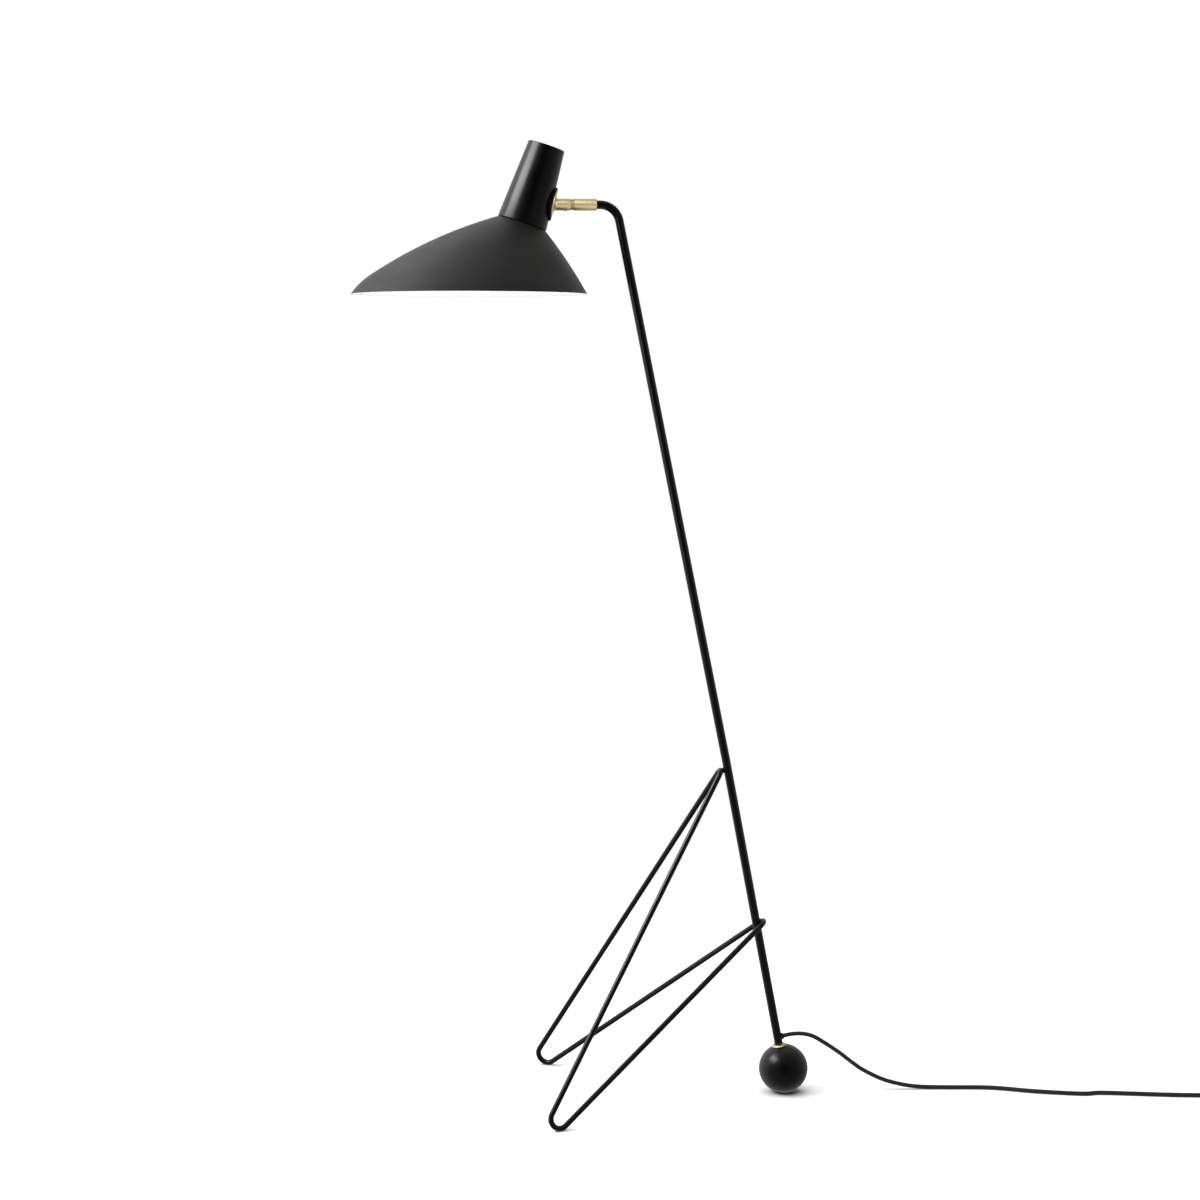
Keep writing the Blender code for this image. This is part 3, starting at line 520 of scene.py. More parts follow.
def add_camera():
    data = bpy.data.cameras.new("camera")
    data.lens = 78.0
    data.sensor_width = 36.0
    camera = bpy.data.objects.new("camera", data)
    bpy.context.scene.collection.objects.link(camera)
    camera.location = (-0.2432, -3.6291, 1.0513)
    turn, dip = math.radians(-4.187), math.radians(5.325)
    heading = Vector((-math.sin(turn) * math.cos(dip), math.cos(turn) * math.cos(dip), -math.sin(dip)))
    camera.rotation_euler = heading.to_track_quat("-Z", "Y").to_euler()
    bpy.context.scene.camera = camera


def area_light(name, place, target, size, radiance, only=None):
    """A soft box of a given brightness. only has the objects that it lights, though all shade it."""
    data = bpy.data.lights.new(name, "AREA")
    data.shape = "RECTANGLE"
    data.size, data.size_y = size
    data.energy = radiance * math.pi * size[0] * size[1]
    lamp = bpy.data.objects.new(name, data)
    bpy.context.scene.collection.objects.link(lamp)
    lamp.location = place
    lamp.visible_camera = False
    lamp.rotation_euler = (Vector(target) - Vector(place)).to_track_quat("-Z", "Y").to_euler()
    if only:
        receivers = bpy.data.collections.new(name + "_receivers")
        for item in only:
            receivers.objects.link(item)
        lamp.light_linking.receiver_collection = receivers


def add_world():
    """White to the camera. As light it is bright behind the lamp, more so on the left and above, and dim on
    the camera's side, with a dark patch round the camera that gives black paint its dark core."""
    world = bpy.data.worlds.new("studio")
    bpy.context.scene.world = world
    world.use_nodes = True
    graph = Graph(world.node_tree)
    backdrop = graph.nodes["Background"]
    backdrop.inputs["Color"].default_value = (1, 1, 1, 1)
    backdrop.inputs["Strength"].default_value = 1.0
    way = graph.add("TexCoord", output="Generated")
    lit = 1.0
    for axis, kind, span, amounts in (("Y", "SMOOTHSTEP", (-0.6, 0.6), (0.0, 0.9)),
                                      ("Z", "LINEAR", (-0.4, 0.1), (0.6, 1.0)),
                                      ("X", "LINEAR", (-0.8, 0.8), (1.25, 0.5))):
        part = graph.add("SeparateXYZ", [way], axis)
        amount = graph.add("MapRange", (part, *span, *amounts), interpolation_type=kind)
        lit = graph.math("MULTIPLY", lit, amount)
    camera_way = Vector((0.0, -0.98, 0.2)).normalized()
    nearness = graph.add("VectorMath", (way, camera_way), "Value", operation="DOT_PRODUCT")
    dark_from, dark_to = math.cos(math.radians(36)), math.cos(math.radians(14))
    room = graph.add("MapRange", (nearness, dark_from, dark_to, 0.14, 0.0), interpolation_type="SMOOTHSTEP")
    glow = graph.add("Background", {"Strength": graph.math("ADD", lit, room)})
    seen = graph.add("LightPath", output="Is Camera Ray")
    mixed = graph.add("MixShader", (seen, glow, backdrop.outputs[0]))
    graph.feed(graph.nodes["World Output"].inputs["Surface"], mixed)


def add_floor():
    """A round white floor that takes soft shadows near the lamp and fades into the backdrop further out.
    It shows from above only, and the lamp doesn't mirror it."""
    shape = bmesh.new()
    bmesh.ops.create_circle(shape, cap_ends=True, segments=96, radius=14.0)
    floor = new_object("studio_floor", shape)
    look = Look("studio_floor", (0.5, 0.5, 0.5), 0.9)
    away = look.add("VectorMath", [look.coords], "Value", operation="LENGTH")
    fade = look.add("MapRange", (away, 0.95, 1.7), interpolation_type="SMOOTHSTEP")
    outer = look.add("MixShader", (fade, look.shader.outputs[0], look.add("Emission")))
    back = look.add("NewGeometry", output="Backfacing")
    both = look.add("MixShader", (back, outer, look.add("BsdfTransparent")))
    look.feed(look.nodes["Material Output"].inputs["Surface"], both)
    floor.data.materials.append(look.material)
    floor.visible_glossy = False
    return floor


def add_studio():
    bpy.context.scene.view_settings.view_transform = "Standard"
    add_world()
    floor = add_floor()
    area_light("key_from_the_left", (-2.3, -0.56, 2.7), (0.1, 0, 0.6), (2.1, 1.35), 8.0)
    area_light("floor_wash", (-0.6, -0.5, 3.4), (0.2, 0, 0), (6.0, 6.0), 4.6, [floor])


def pieces(*names):
    return [bpy.data.objects[name] for name in names]


def add_linked_lights():
    """Soft lights that reach only some pieces: the brass, which mirrors a bright room, the shade's left side
    and slim ones down the sides of the rods."""
    shade = pieces("spun_shade")
    brass = pieces("brass_sleeve", "seam_bush", "brass_flange", "brass_collar")
    rods = pieces("stem", "leg_rods", "upper_weld", "lower_weld")
    area_light("shade_fill", (-1.4, 1.35, 3.5), (-0.15, 0, 1.2), (1.8, 1.8), 0.95, shade)
    area_light("brass_fill_high", (-0.6, -1.9, 3.4), (0, 0, 1.1), (3.0, 2.6), 1.5, brass)
    area_light("brass_fill_front", (-0.4, -3.0, 0.9), (0, 0, 1.1), (3.4, 2.6), 0.25, brass)
    area_light("brass_fill_low", (-0.2, -0.85, 0.1), (0, 0, 1.2), (2.6, 1.9), 0.85, brass)
    area_light("brass_fill_right", (2.0, -1.5, 1.6), (0, 0, 1.25), (1.8, 1.8), 2.6, brass)
    area_light("stem_strip_left", (-2.5, -1.5, 0.9), (0, 0, 0.7), (0.7, 2.0), 1.9, rods)
    area_light("stem_strip_right", (2.6, -0.9, 0.8), (0, 0, 0.7), (0.7, 1.8), 0.4, rods)


# ---- cord ----


def switch_point(reach):
    """A point on the cord's line through the switch, that far from its middle."""
    return SWITCH_AT + Vector((reach * math.cos(SWITCH_TURN), reach * math.sin(SWITCH_TURN), SWITCH_SPLIT))


def lead_route():
    """From inside the grommet in a low arch to the floor, then in loose curves to the switch."""
    side = Vector((math.cos(STEM_TILT), 0, math.sin(STEM_TILT)))
    start = BALL + along(STEM_TILT) * OUTLET_UP + side * (STEM_R + 0.0004)
    half = SWITCH_SIZE[0] / 2
    return [
        start, (0.2985, 0, 0.0846), (0.3120, 0, 0.0849), (0.3250, 0, 0.0824), (0.3366, 0, 0.0768),
        (0.3534, 0, 0.0660), (0.3702, 0, 0.0541), (0.3870, 0, 0.0407), (0.4035, 0, 0.0293),
        (0.4300, 0, 0.0160), (0.4560, -0.0003, 0.0082), (0.4830, -0.0010, 0.0040),
        (0.5222, -0.0042, FLOOR), (0.5872, -0.0111, FLOOR), (0.6474, -0.0345, FLOOR),
        (0.7102, -0.0509, FLOOR), (0.7371, -0.0482, FLOOR), (0.7871, -0.0570, FLOOR),
        (0.8330, -0.0656, FLOOR), (0.8761, -0.0711, FLOOR), (0.9090, -0.0750, 0.0034),
        (0.9270, -0.0773, 0.0062), switch_point(-half - 0.006), switch_point(-half + 0.003),
    ]


def eased(t):
    t = min(max(t, 0.0), 1.0)
    return t * t * (3 - 2 * t)


def coil_path():
    """Two layers of turns: inwards on the floor, then outwards on top. Degrees run on from -90, where the
    cord arrives. Each layer changes rows in a sector of its own, and the cord climbs in a third."""
    rows = len(COIL_RADII)
    inwards, outwards, climb, sector = 195, 75, 360 * (rows - 1) + 145, 90
    path = []
    end = 360 * (2 * rows - 1) + 90
    degree = -90.0
    while degree <= end:
        bottom = sum(eased((degree - 360 * k - inwards) / sector) for k in range(rows - 1))
        top = sum(eased((degree - 360 * k - outwards) / sector) for k in range(rows, 2 * rows - 1))
        row = bottom - top
        low = int(min(max(row, 0), rows - 1.000001))
        radius = COIL_RADII[low] + (COIL_RADII[low + 1] - COIL_RADII[low]) * (row - low)
        lift = LAYER_UP * eased((degree - climb) / sector)
        away = abs((degree + 180) % 360 - 180)  # from the tie
        lift += TIE_LIFT * (1 - eased((away - 12) / 40))
        angle = math.radians(degree)
        path.append(COIL_AT + Vector((radius * math.cos(angle), radius * math.sin(angle), FLOOR + lift)))
        degree += 7.5
    return path


def tail_path():
    """From the switch into the coil, round all its turns and out to the plug."""
    half = SWITCH_SIZE[0] / 2
    turns = coil_path()
    plug_end = PLUG_FRONT + Vector((PLUG_LONG + RELIEF_LONG, 0, 0))
    arrive = turns[0]
    into = [switch_point(half - 0.003), switch_point(half + 0.006), (1.0225, -0.0880, 0.0054),
            (1.0380, arrive.y + 0.0007, 0.0038), (1.0530, arrive.y, FLOOR), arrive]
    leave = turns[-1]
    out = [leave, leave + Vector((-0.0100, 0.0002, -0.0006)), plug_end + Vector((0.0110, -0.0004, 0.0010)),
           plug_end, plug_end - Vector((RELIEF_LONG, 0, 0))]
    line = smooth_line(into, 0.0028)[:-1] + turns + smooth_line(out, 0.0028)[1:]
    return evenly(line, 0.0028)


def add_cords():
    """The lead to the switch and the tail to the plug. What is fitted to each is made before them."""
    lead = smooth_line(lead_route(), 0.0030)
    cord = tube("supply_cord", lead, CORD_R, 20)
    own(cord, "textile", "stand", "cord_lead")
    tail = tail_path()
    rest = tube("supply_cord_tail", tail, CORD_R, 20)
    own(rest, "textile", "stand", "cord_tail", "cord_coil", "cord_end")


def rounded_rectangle(half_x, half_y, corner, z, steps=6):
    ring = []
    for quarter, (sx, sy) in enumerate(((1, 1), (-1, 1), (-1, -1), (1, -1))):
        centre = Vector((sx * (half_x - corner), sy * (half_y - corner), z))
        for k in range(steps + 1):
            angle = math.radians(90) * (quarter + k / steps)
            ring.append(centre + corner * Vector((math.cos(angle), math.sin(angle), 0)))
    return ring


def add_switch():
    """The in-line switch: two half shells with a shadow line between them, and a ribbed rocker."""
    long, wide, high = SWITCH_SIZE
    at = Matrix.Translation(SWITCH_AT) @ Matrix.Rotation(SWITCH_TURN, 4, "Z")
    split, corner, hole_r = SWITCH_SPLIT, 0.0085, CORD_R + 0.0002
    halves = {  # heights, with how far in from the full size each outline is
        "base": ((0.0001, 0.0016), (0.0006, 0.0006), (0.0015, 0.0001), (0.0030, 0), (split - 0.0004, 0),
                 (split, 0.0004)),
        "cover": ((split + 0.0003, 0.0004), (split + 0.0007, 0), (0.0118, 0.0001), (0.0142, 0.0008),
                  (0.0156, 0.0020), (0.0163, 0.0034), (high, 0.0052)),
    }
    for name, heights in halves.items():
        rings = [rounded_rectangle(long / 2 - d, wide / 2 - d, corner - d, z) for z, d in heights]
        shell = skin("inline_switch_" + name, rings, at=at, sharp=40)
        if name == "cover":
            cut(shell, box_cutter("well", (0.0220, 0.0120, 0.0080), at @ Matrix.Translation((0, 0, high))))
        for side in (-1, 1):
            way = at @ frame_at(Vector((side * (long / 2 - 0.004), 0, split)), Vector((side, 0, 0)))
            cut(shell, lathe("cord_hole", ((0, 0.006), (hole_r, 0.006), (hole_r, 0), (0, 0)), way, steps=32))
        own(shell, "black_plastic", "stand", "switch_" + name)
    add_switch_key()


def add_switch_key():
    """The rocker, pressed down at the end towards the lamp, with a dished top and ribs at both ends."""
    turned = Matrix.Rotation(SWITCH_TURN, 4, "Z") @ Matrix.Rotation(ROCKER_TILT, 4, "Y")
    at = Matrix.Translation(joint_at["switch_rocker"]) @ turned
    half_long, half_wide, corner, columns = 0.0098, 0.0054, 0.0006, 40
    rings = []
    for k in range(columns + 1):
        x = half_long * (2 * k / columns - 1)
        rib = 0.00018 * math.cos(x * 2 * math.pi / 0.0016) if 0.0035 < abs(x) < 0.0088 else 0
        top = 0.0037 + 0.0009 * (x / half_long) ** 2 + rib
        bottom = -0.0018 + 0.0026 * abs(x / half_long)
        middle, half_tall = (top + bottom) / 2, (top - bottom) / 2
        trim = corner if k in (0, columns) else 0
        ring = rounded_rectangle(half_wide - trim, half_tall - trim, corner, 0, 3)
        rings.append([Vector((x, p.x, p.y + middle)) for p in ring])
    own(skin("switch_key", rings, at=at, sharp=40), "black_plastic", "rocker", "switch_rocker")


def box_cutter(name, size, at):
    shape = bmesh.new()
    bmesh.ops.create_cube(shape, size=1.0)
    bmesh.ops.scale(shape, vec=size, verts=shape.verts)
    return new_object(name, shape, at)


def add_plug():
    """The two-pin plug: a waisted moulding, sleeved pins and a ribbed strain relief."""
    sections = (  # how far back, half its width, half its height, its corners' radius
        (0.0000, 0.0140, 0.0056, 0.0030), (0.0008, 0.0160, 0.0064, 0.0042), (0.0024, 0.0171, 0.0068, 0.0050),
        (0.0080, 0.0174, 0.0068, 0.0056), (0.0150, 0.0170, 0.0068, 0.0058), (0.0190, 0.0155, 0.0067, 0.0058),
        (0.0230, 0.0134, 0.0065, 0.0056), (0.0280, 0.0108, 0.0062, 0.0054), (0.0330, 0.0084, 0.0058, 0.0052),
        (0.0350, 0.0074, 0.0055, 0.0050), (PLUG_LONG, 0.0060, 0.0048, 0.0044),
    )
    rings = []
    for x, half_wide, half_high, corner in sections:
        ring = rounded_rectangle(half_wide, half_high, corner, 0, 7)
        rings.append([Vector((x, p.x, p.y)) for p in ring])
    body = skin("plug_moulding", rings, at=Matrix.Translation(PLUG_FRONT), sharp=40)
    own(body, "black_plastic", "stand", "plug_body")
    for hand, side in (("left", -1), ("right", 1)):
        at = frame_at(PLUG_FRONT + Vector((0, side * PIN_SPACING / 2, 0)), Vector((-1, 0, 0)))
        sleeve_r, bare = PIN_R - 0.00015, 0.0100  # the sleeve's radius, and where it ends
        nose = [(0, PIN_LONG), (0.0010, PIN_LONG), (0.0017, PIN_LONG - 0.0004), (PIN_R, PIN_LONG - 0.0014),
                (PIN_R, bare), (sleeve_r, bare - 0.0002), (sleeve_r, 0.0003), (0, 0.0003)]
        pin = lathe(f"plug_{hand}_pin", nose, at, steps=40)
        own(pin, "cap_metal", "stand", "plug_pin_" + hand)
        pin.data.materials.append(looks["black_plastic"])
        for face in pin.data.polygons:
            if face.center.z < bare - 0.0001:
                face.material_index = 1
    rings = [(CORD_R + 0.0002, RELIEF_LONG), (0.0039, RELIEF_LONG)]
    for k in range(6):
        top = RELIEF_LONG - 0.0016 - k * 0.0036
        fat = 0.0041 + 0.0012 * (1 - top / RELIEF_LONG)
        rings += [(fat, top), (fat, top - 0.0022), (fat - 0.0008, top - 0.0024), (fat - 0.0008, top - 0.0034)]
    rings += [(0.0055, 0.0004), (CORD_R + 0.0002, 0.0004)]
    relief_at = frame_at(PLUG_FRONT + Vector((PLUG_LONG, 0, 0)), Vector((1, 0, 0)))
    relief = lathe("plug_relief", rings, relief_at, closed=True, steps=40, soften=0.0003)
    own(relief, "rubber", "stand", "plug_strain_relief")


def add_tie():
    """A flat band round the coil's bundle."""
    outer, inner = COIL_RADII[0] + CORD_R, COIL_RADII[-1] - CORD_R
    high = FLOOR + LAYER_UP + CORD_R + TIE_LIFT + TIE_THICK
    half_x, half_y, half_z = (outer - inner) / 2 + AIR, 0.0034, high / 2 - TIE_THICK
    middle = COIL_AT + Vector(((outer + inner) / 2, 0, high / 2))
    corner = 0.0024
    loops = []
    for near, far in zip(rounded_rectangle(half_x, half_z, corner, 0),
                         rounded_rectangle(half_x + TIE_THICK, half_z + TIE_THICK, corner + TIE_THICK, 0)):
        ring = [Vector((near.x, -half_y, near.y)), Vector((far.x, -half_y + AIR, far.y)),
                Vector((far.x, half_y - AIR, far.y)), Vector((near.x, half_y, near.y))]
        loops.append([middle + p for p in ring])
    own(skin("cord_tie", loops, joined=True, sharp=30), "rubber", "stand", "coil_tie")


# ---- stand ----


def stem_corners():
    foot = BALL + along(STEM_TILT) * STEM_FOOT
    bend = foot + along(STEM_TILT) * ((WELD_Z - foot.z) / math.cos(STEM_TILT))
    top = bend + along(STEM_TILT_ABOVE) * ((ARM_Z - bend.z) / math.cos(STEM_TILT_ABOVE))
    return foot, bend, top, Vector((TUBE_END, 0, ARM_Z))


def add_stem():
    foot, bend, top, end = stem_corners()
    line = rounded_path((foot, bend, top, end), (0, 0.15, ARM_BEND_R, 0), 24)
    line.insert(1, foot.lerp(bend, 0.5))
    own(tube("stem", line, STEM_R, 48, ease=0.0005), "stem", "stand", "stem_tube")


def add_leg_frame():
    x, y, z = FOOT_CORNER
    corners = (UPPER_APEX, (x, y, z), LOWER_APEX, (x, -y, z))
    radii = (UPPER_BEND_R, FOOT_BEND_R, LOWER_BEND_R, FOOT_BEND_R)
    bends = rounded_path(corners, radii, 20)
    loop = []
    for a, b in zip(bends, bends[1:] + bends[:1]):
        pieces = max(1, round((b - a).length / 0.03))
        loop += [a.lerp(b, k / pieces) for k in range(pieces)]
    own(tube("leg_rods", loop, ROD_R, 32, closed=True), "stem", "stand", "leg_frame")
    upper_tip = max(loop, key=lambda p: p.z)
    lower_tip = max(loop, key=lambda p: p.x)
    for name, tip, side in (("upper_weld", upper_tip, 1), ("lower_weld", lower_tip, -1)):
        bead = weld_bead(name, tip + Vector((side * 0.0042, 0, 0)))
        own(bead, "stem", "stand")


def weld_bead(name, at):
    """A fillet of weld metal under the paint, slightly lumpy."""
    shape = bmesh.new()
    bmesh.ops.create_icosphere(shape, subdivisions=4, radius=1.0)
    for vertex in shape.verts:
        lump = 1 + 0.07 * noise.noise(vertex.co * 2.3 + Vector((3.1, 0.4, at.z)))
        vertex.co = Vector((vertex.co.x * 0.0056, vertex.co.y * 0.0046, vertex.co.z * 0.0038)) * lump
    return new_object(name, shape, Matrix.Translation(at), 60)


def add_ball():
    at = frame_at(BALL, along(STEM_TILT))
    top_r = math.sqrt(BALL_R**2 - BALL_TOP_FLAT**2)
    first = math.asin(top_r / BALL_R)
    stud_r, stud_foot = 0.0035, 0.0120
    outline = [(0, stud_foot), (stud_r, stud_foot), (stud_r, BALL_TOP_FLAT)]
    steps = 72
    for k in range(steps + 1):
        angle = first + (math.pi - first) * k / steps
        outline.append((BALL_R * math.sin(angle) if k < steps else 0, BALL_R * math.cos(angle)))
    ball = lathe("ball", outline, at, steps=128, sharp=50)
    under = box_cutter("under", (0.08, 0.08, 0.02), Matrix.Translation((BALL.x, 0, BALL_UNDER_FLAT - 0.01)))
    cut(ball, under)
    own(ball, "ball", "stand", "ball_foot")
    dome = [(0.0034, 0.0363), (0.0068, 0.0363), (0.0082, 0.0361), (0.0094, 0.0357), (0.0104, 0.0350),
            (0.0109, 0.0344), (0.0110, BALL_TOP_FLAT + AIR), (0.0034, BALL_TOP_FLAT + AIR)]
    own(lathe("brass_collar", dome, at, closed=True, soften=0.0002), "brass", "stand", "ball_collar")
    pad_low, pad_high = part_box("ball_glide")
    pad_r = (pad_high.x - pad_low.x) / 2
    rim = 0.0003
    outline = [(0, pad_high.z), (pad_r - rim, pad_high.z), (pad_r, pad_high.z - rim), (pad_r, rim),
               (pad_r - rim, 0), (0, 0)]
    own(lathe("felt_glide", outline, Matrix.Translation((BALL.x, 0, 0))), "felt", "stand", "ball_glide")


def add_grommet():
    side = Vector((math.cos(STEM_TILT), 0, math.sin(STEM_TILT)))
    at = frame_at(BALL + along(STEM_TILT) * OUTLET_UP, side)
    mouth = OUTLET_MOUTH
    bore, neck = CORD_R + 0.0002, 0.0041
    outline = [(bore, mouth), (0.0039, mouth), (0.0044, mouth - 0.0005), (0.0047, mouth - 0.0012),
               (0.0048, mouth - 0.0019), (0.0047, STEM_R + 0.0002), (neck, STEM_R - 0.0002), (neck, 0.0047),
               (bore, 0.0047)]
    grommet = lathe("outlet_grommet", outline, at, closed=True, steps=64, soften=0.0003)
    own(grommet, "rubber", "stand", "cord_grommet")


# ---- swivel ----


def add_sleeve():
    """The still half of the brass arm, with the screw that holds it to the tube, and the bush in the seam."""
    at = frame_at(pivot, Vector((-1, 0, 0)))
    right = pivot.x - SLEEVE_RIGHT
    step = pivot.x - TUBE_END
    outline = [(SPINDLE_R + AIR, 0), (SLEEVE_R, 0), (SLEEVE_R, right), (STEM_R + AIR, right),
               (STEM_R + AIR, step + AIR), (SPINDLE_R + AIR, step + AIR)]
    own(lathe("brass_sleeve", outline, at, closed=True, soften=0.0004), "brass", "stand", "swivel_sleeve")
    bush_r = 0.0075
    seam = pivot.x - STUB_RIGHT
    outline = [(SPINDLE_R + AIR, AIR), (bush_r, AIR), (bush_r - 0.0003, seam / 2), (bush_r, seam - AIR),
               (SPINDLE_R + AIR, seam - AIR)]
    own(lathe("seam_bush", outline, at, closed=True, soften=0.0002), "bronze", "stand", "friction_bush")
    screw_at = frame_at(Vector((SLEEVE_RIGHT - SLEEVE_SCREW_AT, 0, ARM_Z)), -Z)
    add_grub_screw("sleeve_screw", screw_at, 0.0013, STEM_R + 0.0002, SLEEVE_R - 0.0002, "stand",
                   "sleeve_grub_screw")


def add_grub_screw(name, at, radius, low, high, body, node):
    """A small socket screw."""
    outline = [(0, high - 0.0012), (radius * 0.5, high - 0.0010), (radius * 0.5, high), (radius, high),
               (radius, low), (0, low)]
    own(lathe(name, outline, at, steps=32, soften=0.0002), "steel", body, node)


def drop_round_neck(across):
    """How far the disc's sides are bent towards the neck, at a distance across it."""
    return max(0, across**2 - DISC_HUB_R**2) / (2 * DISC_BEND_R)


def disc_outward():
    """The direction square out from the neck's side, towards the arm."""
    lean = HEAD_TILT - math.atan((NECK_BASE_R - NECK_TOP_R) / NECK_H)
    return Vector((math.cos(lean), 0, -math.sin(lean)))


def flange_rings(sides):
    """Rings from the stub's bore out along the arm, through a small flare into the tilted disc and back to
    the bore."""
    out = disc_outward()
    bore, ease = SPINDLE_R + AIR, 0.0004
    bore_end, stub_end = STUB_RIGHT - STUB_BORE_LONG, DISC_X + FLARE_LONG
    stub = [(bore_end, LEAD_WAY_R), (bore_end, bore), (STUB_RIGHT, bore), (STUB_RIGHT, SLEEVE_R - ease),
            (STUB_RIGHT - 0.4 * ease, SLEEVE_R - 0.2 * ease), (STUB_RIGHT - ease, SLEEVE_R),
            (stub_end + 0.004, SLEEVE_R), (stub_end, SLEEVE_R)]
    rings = [circle(Vector((x, 0, ARM_Z)), radius, Y, X.cross(Y), sides) for x, radius in stub]
    back = DISC_BACK - DISC_MID
    disc = [(0.0046, 0.0083), (0.0037, 0.0084), (0.0029, 0.0088), (0.0022, 0.0095), (0.0017, 0.0105),
            (0.0013, 0.0120), (0.0010, 0.0145), (0.0008, 0.0178), (0.0007, 0.0208), (0.0006, DISC_R - 0.0005),
            (0.0003, DISC_R - 0.0001), (0, DISC_R), (back + 0.0002, DISC_R - 0.0001), (back, DISC_R - 0.0004),
            (back, 0.0200), (back, 0.0160), (back, 0.0120), (back, bore), (0.0022, bore),
            (0.0030, LEAD_WAY_R)]
    for height, radius in disc:
        middle = Vector((DISC_X + height / out.x, 0, ARM_Z))
        ring = circle(middle, radius, Y, out.cross(Y), sides)
        rings.append([p - out * drop_round_neck(p.y) for p in ring])
    return rings


def add_flange(head, face):
    own(skin("brass_flange", flange_rings(128), joined=True, sharp=32), "brass", "head", "swivel_flange")
    bore, edge = SPINDLE_R + AIR, DISC_R - 0.0002
    top, bottom = DISC_BACK - DISC_MID - AIR, -DISC_MID - 0.0120
    outline = [(bore, top)] + [(bore + (edge - bore) * k / 12, top) for k in range(1, 13)]
    saddle = lathe("neck_saddle", outline + [(edge, bottom), (bore, bottom)], face, closed=True)
    for vertex in saddle.data.vertices:
        spot = vertex.co
        share = (math.hypot(spot.x, spot.y) - bore) / (edge - bore)
        spot.y *= 1 + share * (SADDLE_WIDE / 2 / edge - 1)
        spot.z -= drop_round_neck(spot.y)
    high, low = NECK_H, -0.02
    cone = [(0, high), (neck_radius(high) + AIR, high), (neck_radius(low) + AIR, low), (0, low)]
    cut(saddle, lathe("neck_outside", cone, head, steps=144))
    own(saddle, "rubber", "head", "saddle_spacer")
    screw_x = pivot.x - SCREW_AT
    add_grub_screw("stub_screw", frame_at(Vector((screw_x, 0, ARM_Z)), -Z), 0.0015, SPINDLE_R + 0.0002,
                   SLEEVE_R + 0.0008, "head", "flange_set_screw")


# ---- head ----


def head_matrix():
    """The head's frame, with Z up its axis from the neck's lower edge, and the disc's, with Z outwards."""
    outward = disc_outward()
    up = Vector((math.sin(HEAD_TILT), 0, math.cos(HEAD_TILT)))
    right = Vector((math.cos(HEAD_TILT), 0, -math.sin(HEAD_TILT)))
    origin = Vector((DISC_X, 0, ARM_Z)) - outward * DISC_MID - right * neck_radius(DISC_UP) - up * DISC_UP
    return frame_at(origin, up), frame_at(Vector((DISC_X, 0, ARM_Z)), outward)


def neck_radius(height):
    return NECK_BASE_R - (NECK_BASE_R - NECK_TOP_R) * height / NECK_H


def arc_on(start, radius, first, last, steps):
    """Points on an arc that goes on from start, heading first and then last below level."""
    centre = (start[0] - radius * math.sin(first), start[1] - radius * math.cos(first))
    angles = [first + (last - first) * k / steps for k in range(1, steps + 1)]
    return [(centre[0] + radius * math.sin(a), centre[1] + radius * math.cos(a)) for a in angles]


def shade_line(inset):
    """The shade's profile outwards from its hole; inset moves it square to itself, towards the inside."""
    shoulder_start = (NECK_BASE_R - 0.0012 - SHOULDER_R * math.sin(FLANK_START), -inset)
    line = [(SHADE_HOLE_R, -inset), ((SHADE_HOLE_R + shoulder_start[0]) / 2, -inset), shoulder_start]
    for radius, first, last, steps in ((SHOULDER_R, 0, FLANK_START, 8), (FLANK_R, FLANK_START, FLANK_END, 40),
                                       (RIM_CURVE_R, FLANK_END, RIM_END, 24)):
        line += arc_on(line[-1], radius - inset, first, last, steps)
    return [Vector((r, 0, z)) for r, z in line]


def cut_line(line, level):
    """The part of a world-space line above a level, which ends exactly at it."""
    for i in range(len(line) - 1):
        a, b = line[i], line[i + 1]
        if b.z < level:
            return line[: i + 1] + [a.lerp(b, (a.z - level) / (a.z - b.z))]
    return line


def respaced(line, count):
    """The line with count even steps after its first few points, which keep the shoulder crisp."""
    kept = 11
    run = evenly(line[kept - 1 :], run_along(line[kept - 1 :])[-1] / count)
    return line[: kept - 1] + run


def add_shade(head):
    """A thin spun sheet, black outside and white inside, with its rim rolled into a small bead. Every
    column runs from the hole down the outside, round the bead and back up the inside."""
    columns, rows = 192, 44
    level = RIM_Z + BEAD_R - BEAD_HANG
    outer, inner = shade_line(0), shade_line(SHADE_WALL)
    rings = []
    for k in range(columns):
        turn = head @ Matrix.Rotation(2 * math.pi * k / columns, 4, "Z")
        outside = respaced(cut_line([turn @ p for p in outer], level), rows)
        inside = respaced(cut_line([turn @ p for p in inner], level + 0.0004), rows)
        fall = (outside[-1] - outside[-2]).normalized()
        across = (outside[-1] - inside[-1]).normalized()
        bead = outside[-1] + BEAD_R * (0.2 * fall - 0.9 * across)
        angles = [math.radians(25 - 26 * step) for step in range(11)]
        roll = [bead + BEAD_R * (1.15 * math.cos(a) * across - math.sin(a) * fall) for a in angles]
        rings.append(outside + roll + inside[::-1])
    shape = bmesh.new()
    grid = [[shape.verts.new(p) for p in ring] for ring in rings]
    last_outside = len(outside) + 5  # the paint changes on the bead
    count = len(rings[0])
    for k in range(columns):
        here, there = grid[k], grid[(k + 1) % columns]
        for i in range(count):
            j = (i + 1) % count
            face = shape.faces.new((here[i], here[j], there[j], there[i]))
            face.material_index = 0 if i < last_outside or i == count - 1 else 1
    shade = new_object("spun_shade", shape, sharp=40)
    own(shade, "shade", "head", "shade")
    shade.data.materials.append(looks["inside"])


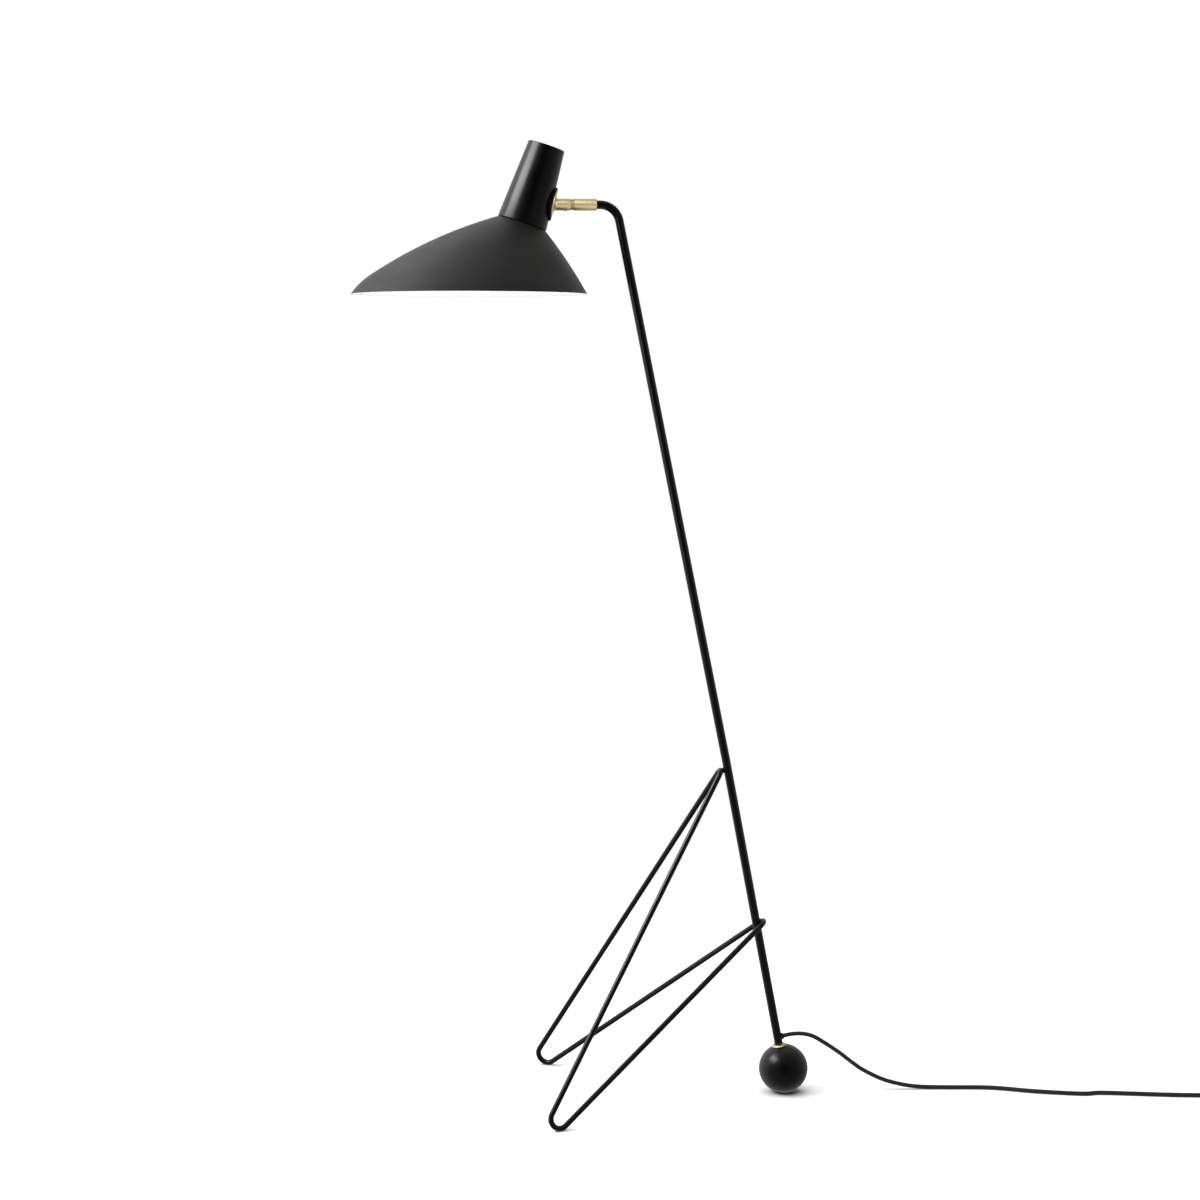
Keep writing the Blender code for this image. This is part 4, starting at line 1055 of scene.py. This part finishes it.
def add_neck(head, face):
    low, top = -0.0005, NECK_H
    inside = neck_radius(low) - NECK_WALL
    outline = [(0, top - 0.0004), (NECK_TOP_R - 0.0030, top - 0.0004), (NECK_TOP_R - 0.0018, top),
               (NECK_TOP_R, top), (neck_radius(low), low), (inside, low), (inside, AIR), (SHADE_HOLE_R, AIR),
               (SHADE_HOLE_R, FLANGE_TOP), (inside, FLANGE_TOP),
               (NECK_TOP_R - NECK_WALL, top - NECK_WALL - 0.0004), (0, top - NECK_WALL - 0.0004)]
    neck = lathe("neck", outline, head, steps=144, soften=0.0006, sharp=40)
    hole = [(0, 0.004), (SPINDLE_R + AIR, 0.004), (SPINDLE_R + AIR, -0.012), (0, -0.012)]
    cut(neck, lathe("side_hole", hole, face, steps=48))
    own(neck, "neck", "head", "neck_housing")


def add_lampholder(head):
    seat = FLANGE_TOP + AIR
    skirt = [(0.0140, 0.0230), (0.0188, 0.0230), (0.0188, seat + 0.0035), (0.0230, seat + 0.0035),
             (0.0230, seat), (0.0194, seat), (0.0194, -0.0090)]
    for k in range(5):
        base = -0.0092 - 0.0026 * k
        skirt += [(0.0196, base - 0.0004), (0.0196, base - 0.0012)]
        skirt += [(0.0189, base - 0.0016), (0.0189, base - 0.0022)]
    skirt += [(0.0190, -0.0232), (0.0184, -0.0240), (0.0163, -0.0240), (0.0150, -0.0190), (0.0150, 0.0020),
              (0.0140, 0.0020)]
    holder = lathe("lampholder_shell", skirt, head, closed=True, soften=0.0003)
    own(holder, "white_plastic", "head", "lampholder_skirt")
    clamp = [(0.0199, -0.0013), (0.0270, -0.0013), (0.0275, -0.0020), (0.0275, -0.0042), (0.0225, -0.0060),
             (0.0225, -0.0090), (0.0199, -0.0090)]
    ring = lathe("clamp_ring", clamp, head, closed=True, steps=192, soften=0.0003)
    for vertex in ring.data.vertices:
        spot = vertex.co
        radius = math.hypot(spot.x, spot.y)
        if radius > 0.0215:
            grip = 0.0005 * (0.5 + 0.5 * math.cos(24 * math.atan2(spot.y, spot.x)))
            spot.x *= 1 - grip / radius
            spot.y *= 1 - grip / radius
    own(ring, "white_plastic", "head", "shade_ring")


def add_bulb(head):
    cap = [(0, 0.0120), (0.0050, 0.0120), (0.0095, 0.0085)]
    for k in range(5):
        base = 0.0070 - 0.0036 * k
        cap += [(0.0126, base), (0.0132, base - 0.0009), (0.0132, base - 0.0012), (0.0126, base - 0.0021)]
    cap += [(0.0130, -0.0118), (0.0130, -0.0150), (0, -0.0150)]
    own(lathe("bulb_cap", cap, head, steps=96, soften=0.0003), "cap_metal", "head", "bulb_base")
    outline = [(0, -0.0153), (0.0130, -0.0153), (0.0136, -0.0162), (0.0140, -0.0200), (0.0152, -0.0252),
               (0.0176, -0.0310), (0.0205, -0.0366)]
    steps = 40
    first = math.radians(48)
    for k in range(steps + 1):
        angle = first + (math.pi - first) * k / steps
        outline.append((BULB_R * math.sin(angle) if k < steps else 0, BULB_MIDDLE + BULB_R * math.cos(angle)))
    own(lathe("bulb", outline, head, steps=96, sharp=60), "opal", "head", "bulb_glass")


# ---- the model's own nodes that stay ----


def dress_nodes():
    """Looks for the nodes that no piece stands for."""
    kept = {
        "steel": ("ball_stud", "stem_insert", "swivel_spindle", "neck_nipple", "inner_saddle_washer",
                  "nipple_nut", "rocker_pin"),
        "white_plastic": ("lampholder_cap", "contact_block"),
        "black_plastic": ("lead_grip",),
        "stamped_brass": ("screw_shell", "centre_contact"),
        "lead_sheath": ("stem_lead", "head_lead"),
    }
    for look, nodes in kept.items():
        for node in nodes:
            for spot in frame["nodes"][node].material_slots:
                spot.material = looks[look]


add_camera()
add_studio()
add_switch()
add_plug()
add_tie()
add_cords()
add_stem()
add_leg_frame()
add_ball()
add_grommet()
add_sleeve()
head, face = head_matrix()
add_flange(head, face)
add_neck(head, face)
add_shade(head)
add_lampholder(head)
add_bulb(head)
dress_nodes()
add_linked_lights()
